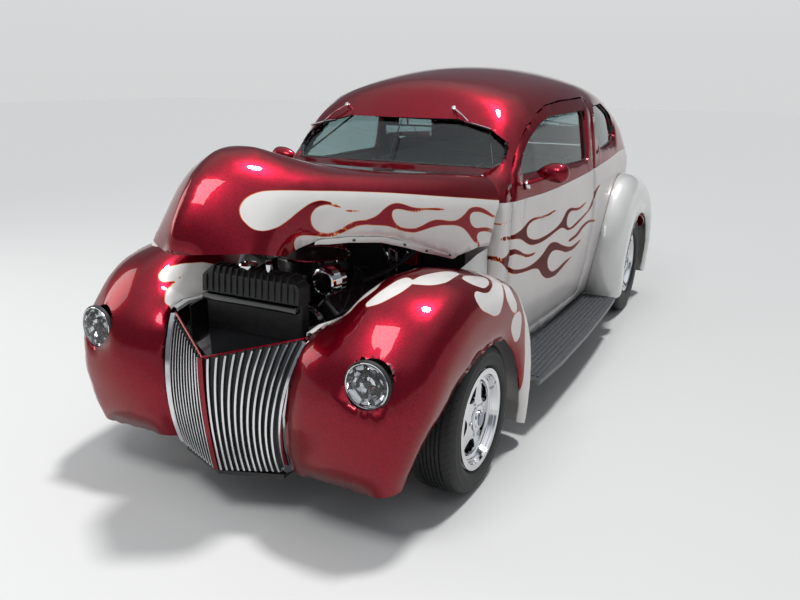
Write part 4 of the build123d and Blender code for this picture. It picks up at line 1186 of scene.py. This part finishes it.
wheelRing = nodes["steering_wheel"].data
wheelRing.materials.append(finishes["chrome"])
for face in wheelRing.polygons:
    face.material_index = int((face.center - Vector((0.340, at(1.120), 1.010))).length < 0.155)
tailRing = addLathe([(-0.012, 0.0455), (0.004, 0.0450), (0.008, 0.0500), (0.002, 0.0560), (-0.012, 0.0560)],
                    (0.745, at(3.485), 0.560), (0, 1, 0), 64)
bothSides(tailRing, "tailLampRing", finishes["chrome"], "car")
tailDome = addLathe([(0.0, 0.0), (0.0, 0.0445), (0.004, 0.0440), (0.007, 0.032), (0.0055, 0.030), (0.009, 0.018),
                     (0.0075, 0.016), (0.0100, 0.0)], (0.745, at(3.485), 0.560), (0, 1, 0), 64, closed=False)
bothSides(tailDome, "tailLampDome", finishes["redLens"], "car")
tip = addLathe([(-0.110, 0.026), (-0.110, 0.031), (0.020, 0.033), (0.022, 0.031), (0.018, 0.027), (-0.060, 0.026)],
               (0.236, at(3.800), 0.150), (0, 1, 0), 48)
bothSides(tip, "exhaustTip", finishes["chrome"], "car")
foot = addRod((0.652, at(0.878), 1.128), (0.668, at(0.880), 1.134), 0.024, 32, 0.004)
bothSides(foot, "mirrorFoot", finishes["chrome"], "door_{side}")
mirrorGlass = addLathe([(0.0, 0.0), (0.0, 0.040), (0.002, 0.039), (0.002, 0.0)], (0.0, at(0.9175), 1.190), (0, 1, 0), 48,
                       closed=False)
mirrorGlass.data.transform(Matrix.Translation((0.780, 0, 0)) @ Matrix.Diagonal((1.62, 1, 1, 1)))
bothSides(mirrorGlass, "mirrorGlass", finishes["chrome"], "door_{side}")
print("details made")

# ---- floor, light and camera ----
stageSettings = {
    "floorSize": 80.0,
    "floorColour": (0.60, 0.60, 0.59, 1),
    "skyColour": (0.62, 0.65, 0.70, 1),
    "skyStrength": 0.55,
    "backdrop": [(0.0, (0.66, 0.665, 0.67)), (0.11, (0.68, 0.69, 0.70)), (0.20, (0.17, 0.18, 0.20)),
                 (0.55, (0.22, 0.24, 0.27)), (0.80, (0.75, 0.78, 0.82)), (1.0, (0.95, 0.97, 1.0))],
    "cameraPlace": (1.7849, -4.1342, 1.6168),
    "yaw": 27.5895, "pitch": 16.5745, "roll": 0.4851, "lens": 33.68,
    "sun": ((0.14, 0.26, 1.0), 2.3, 7),  # direction it comes from, strength, width in degrees
    "lamps": [  # place, target, energy, size
        ((0.2, -3.8, 4.6), (0, -1.2, 0.7), 90, 1.6),
        ((-5.0, -2.5, 3.0), (0, -0.5, 0.7), 60, 2.5),
    ],
}
bpy.ops.object.select_all(action="DESELECT")
bpy.ops.mesh.primitive_plane_add(size=stageSettings["floorSize"], location=(0, 0, 0))
floor = bpy.context.active_object
floor.name = "floor"
floorMaterial, floorTree, floorShader = newMaterial("paleFloor")
setInputs(floorShader, Base_Color=stageSettings["floorColour"], Roughness=0.8)
floor.data.materials.append(floorMaterial)
for number, (spot, target, energy, size) in enumerate(stageSettings["lamps"]):
    bpy.ops.object.light_add(type="AREA", location=spot)
    lamp = bpy.context.active_object
    lamp.name = f"softbox{number}"
    lamp.data.energy = energy
    lamp.data.size = size
    lamp.rotation_euler = (Vector(target) - Vector(spot)).to_track_quat("-Z", "Y").to_euler()

sunFrom, sunStrength, sunWidth = stageSettings["sun"]
bpy.ops.object.light_add(type="SUN", location=Vector(sunFrom) * 8)
sun = bpy.context.active_object
sun.name = "keySun"
sun.data.energy = sunStrength
sun.data.angle = math.radians(sunWidth)
sun.rotation_euler = Vector(sunFrom).to_track_quat("Z", "Y").to_euler()

# The backdrop is pale where it is seen straight, mirrored or through glass, and dimmer as a light
world = bpy.data.worlds.new("studio")
bpy.context.scene.world = world
world.use_nodes = True
tree = world.node_tree
sky = tree.nodes["Background"]
sky.inputs["Color"].default_value = stageSettings["skyColour"]
sky.inputs["Strength"].default_value = stageSettings["skyStrength"]
backdrop = tree.nodes.new("ShaderNodeBackground")
direction = tree.nodes.new("ShaderNodeSeparateXYZ")
tree.links.new(tree.nodes.new("ShaderNodeTexCoord").outputs["Generated"], direction.inputs["Vector"])
tree.links.new(ramp(tree, direction.outputs["Z"], stageSettings["backdrop"]), backdrop.inputs["Color"])
backdrop.inputs["Strength"].default_value = 1.0
path = tree.nodes.new("ShaderNodeLightPath")
seen = maths(tree, "MAXIMUM", path.outputs["Is Camera Ray"], path.outputs["Is Transmission Ray"])
seen = maths(tree, "MAXIMUM", seen, path.outputs["Is Glossy Ray"])
choice = tree.nodes.new("ShaderNodeMixShader")
tree.links.new(seen, choice.inputs[0])
tree.links.new(sky.outputs["Background"], choice.inputs[1])
tree.links.new(backdrop.outputs["Background"], choice.inputs[2])
tree.links.new(choice.outputs["Shader"], tree.nodes["World Output"].inputs["Surface"])

yaw, pitch, roll = (math.radians(stageSettings[key]) for key in ("yaw", "pitch", "roll"))
ahead = Vector((-math.sin(yaw) * math.cos(pitch), math.cos(yaw) * math.cos(pitch), -math.sin(pitch)))
right = Vector((math.cos(yaw), math.sin(yaw), 0))
up = right.cross(ahead)
rolledRight = right * math.cos(roll) + up * math.sin(roll)
rolledUp = up * math.cos(roll) - right * math.sin(roll)
bpy.ops.object.camera_add(location=stageSettings["cameraPlace"])
camera = bpy.context.active_object
camera.rotation_euler = Matrix((rolledRight, rolledUp, -ahead)).transposed().to_euler()
camera.data.lens = stageSettings["lens"]
camera.data.sensor_width = 36
bpy.context.scene.camera = camera
bpy.context.scene.view_settings.view_transform = "Standard"
print("stage set")
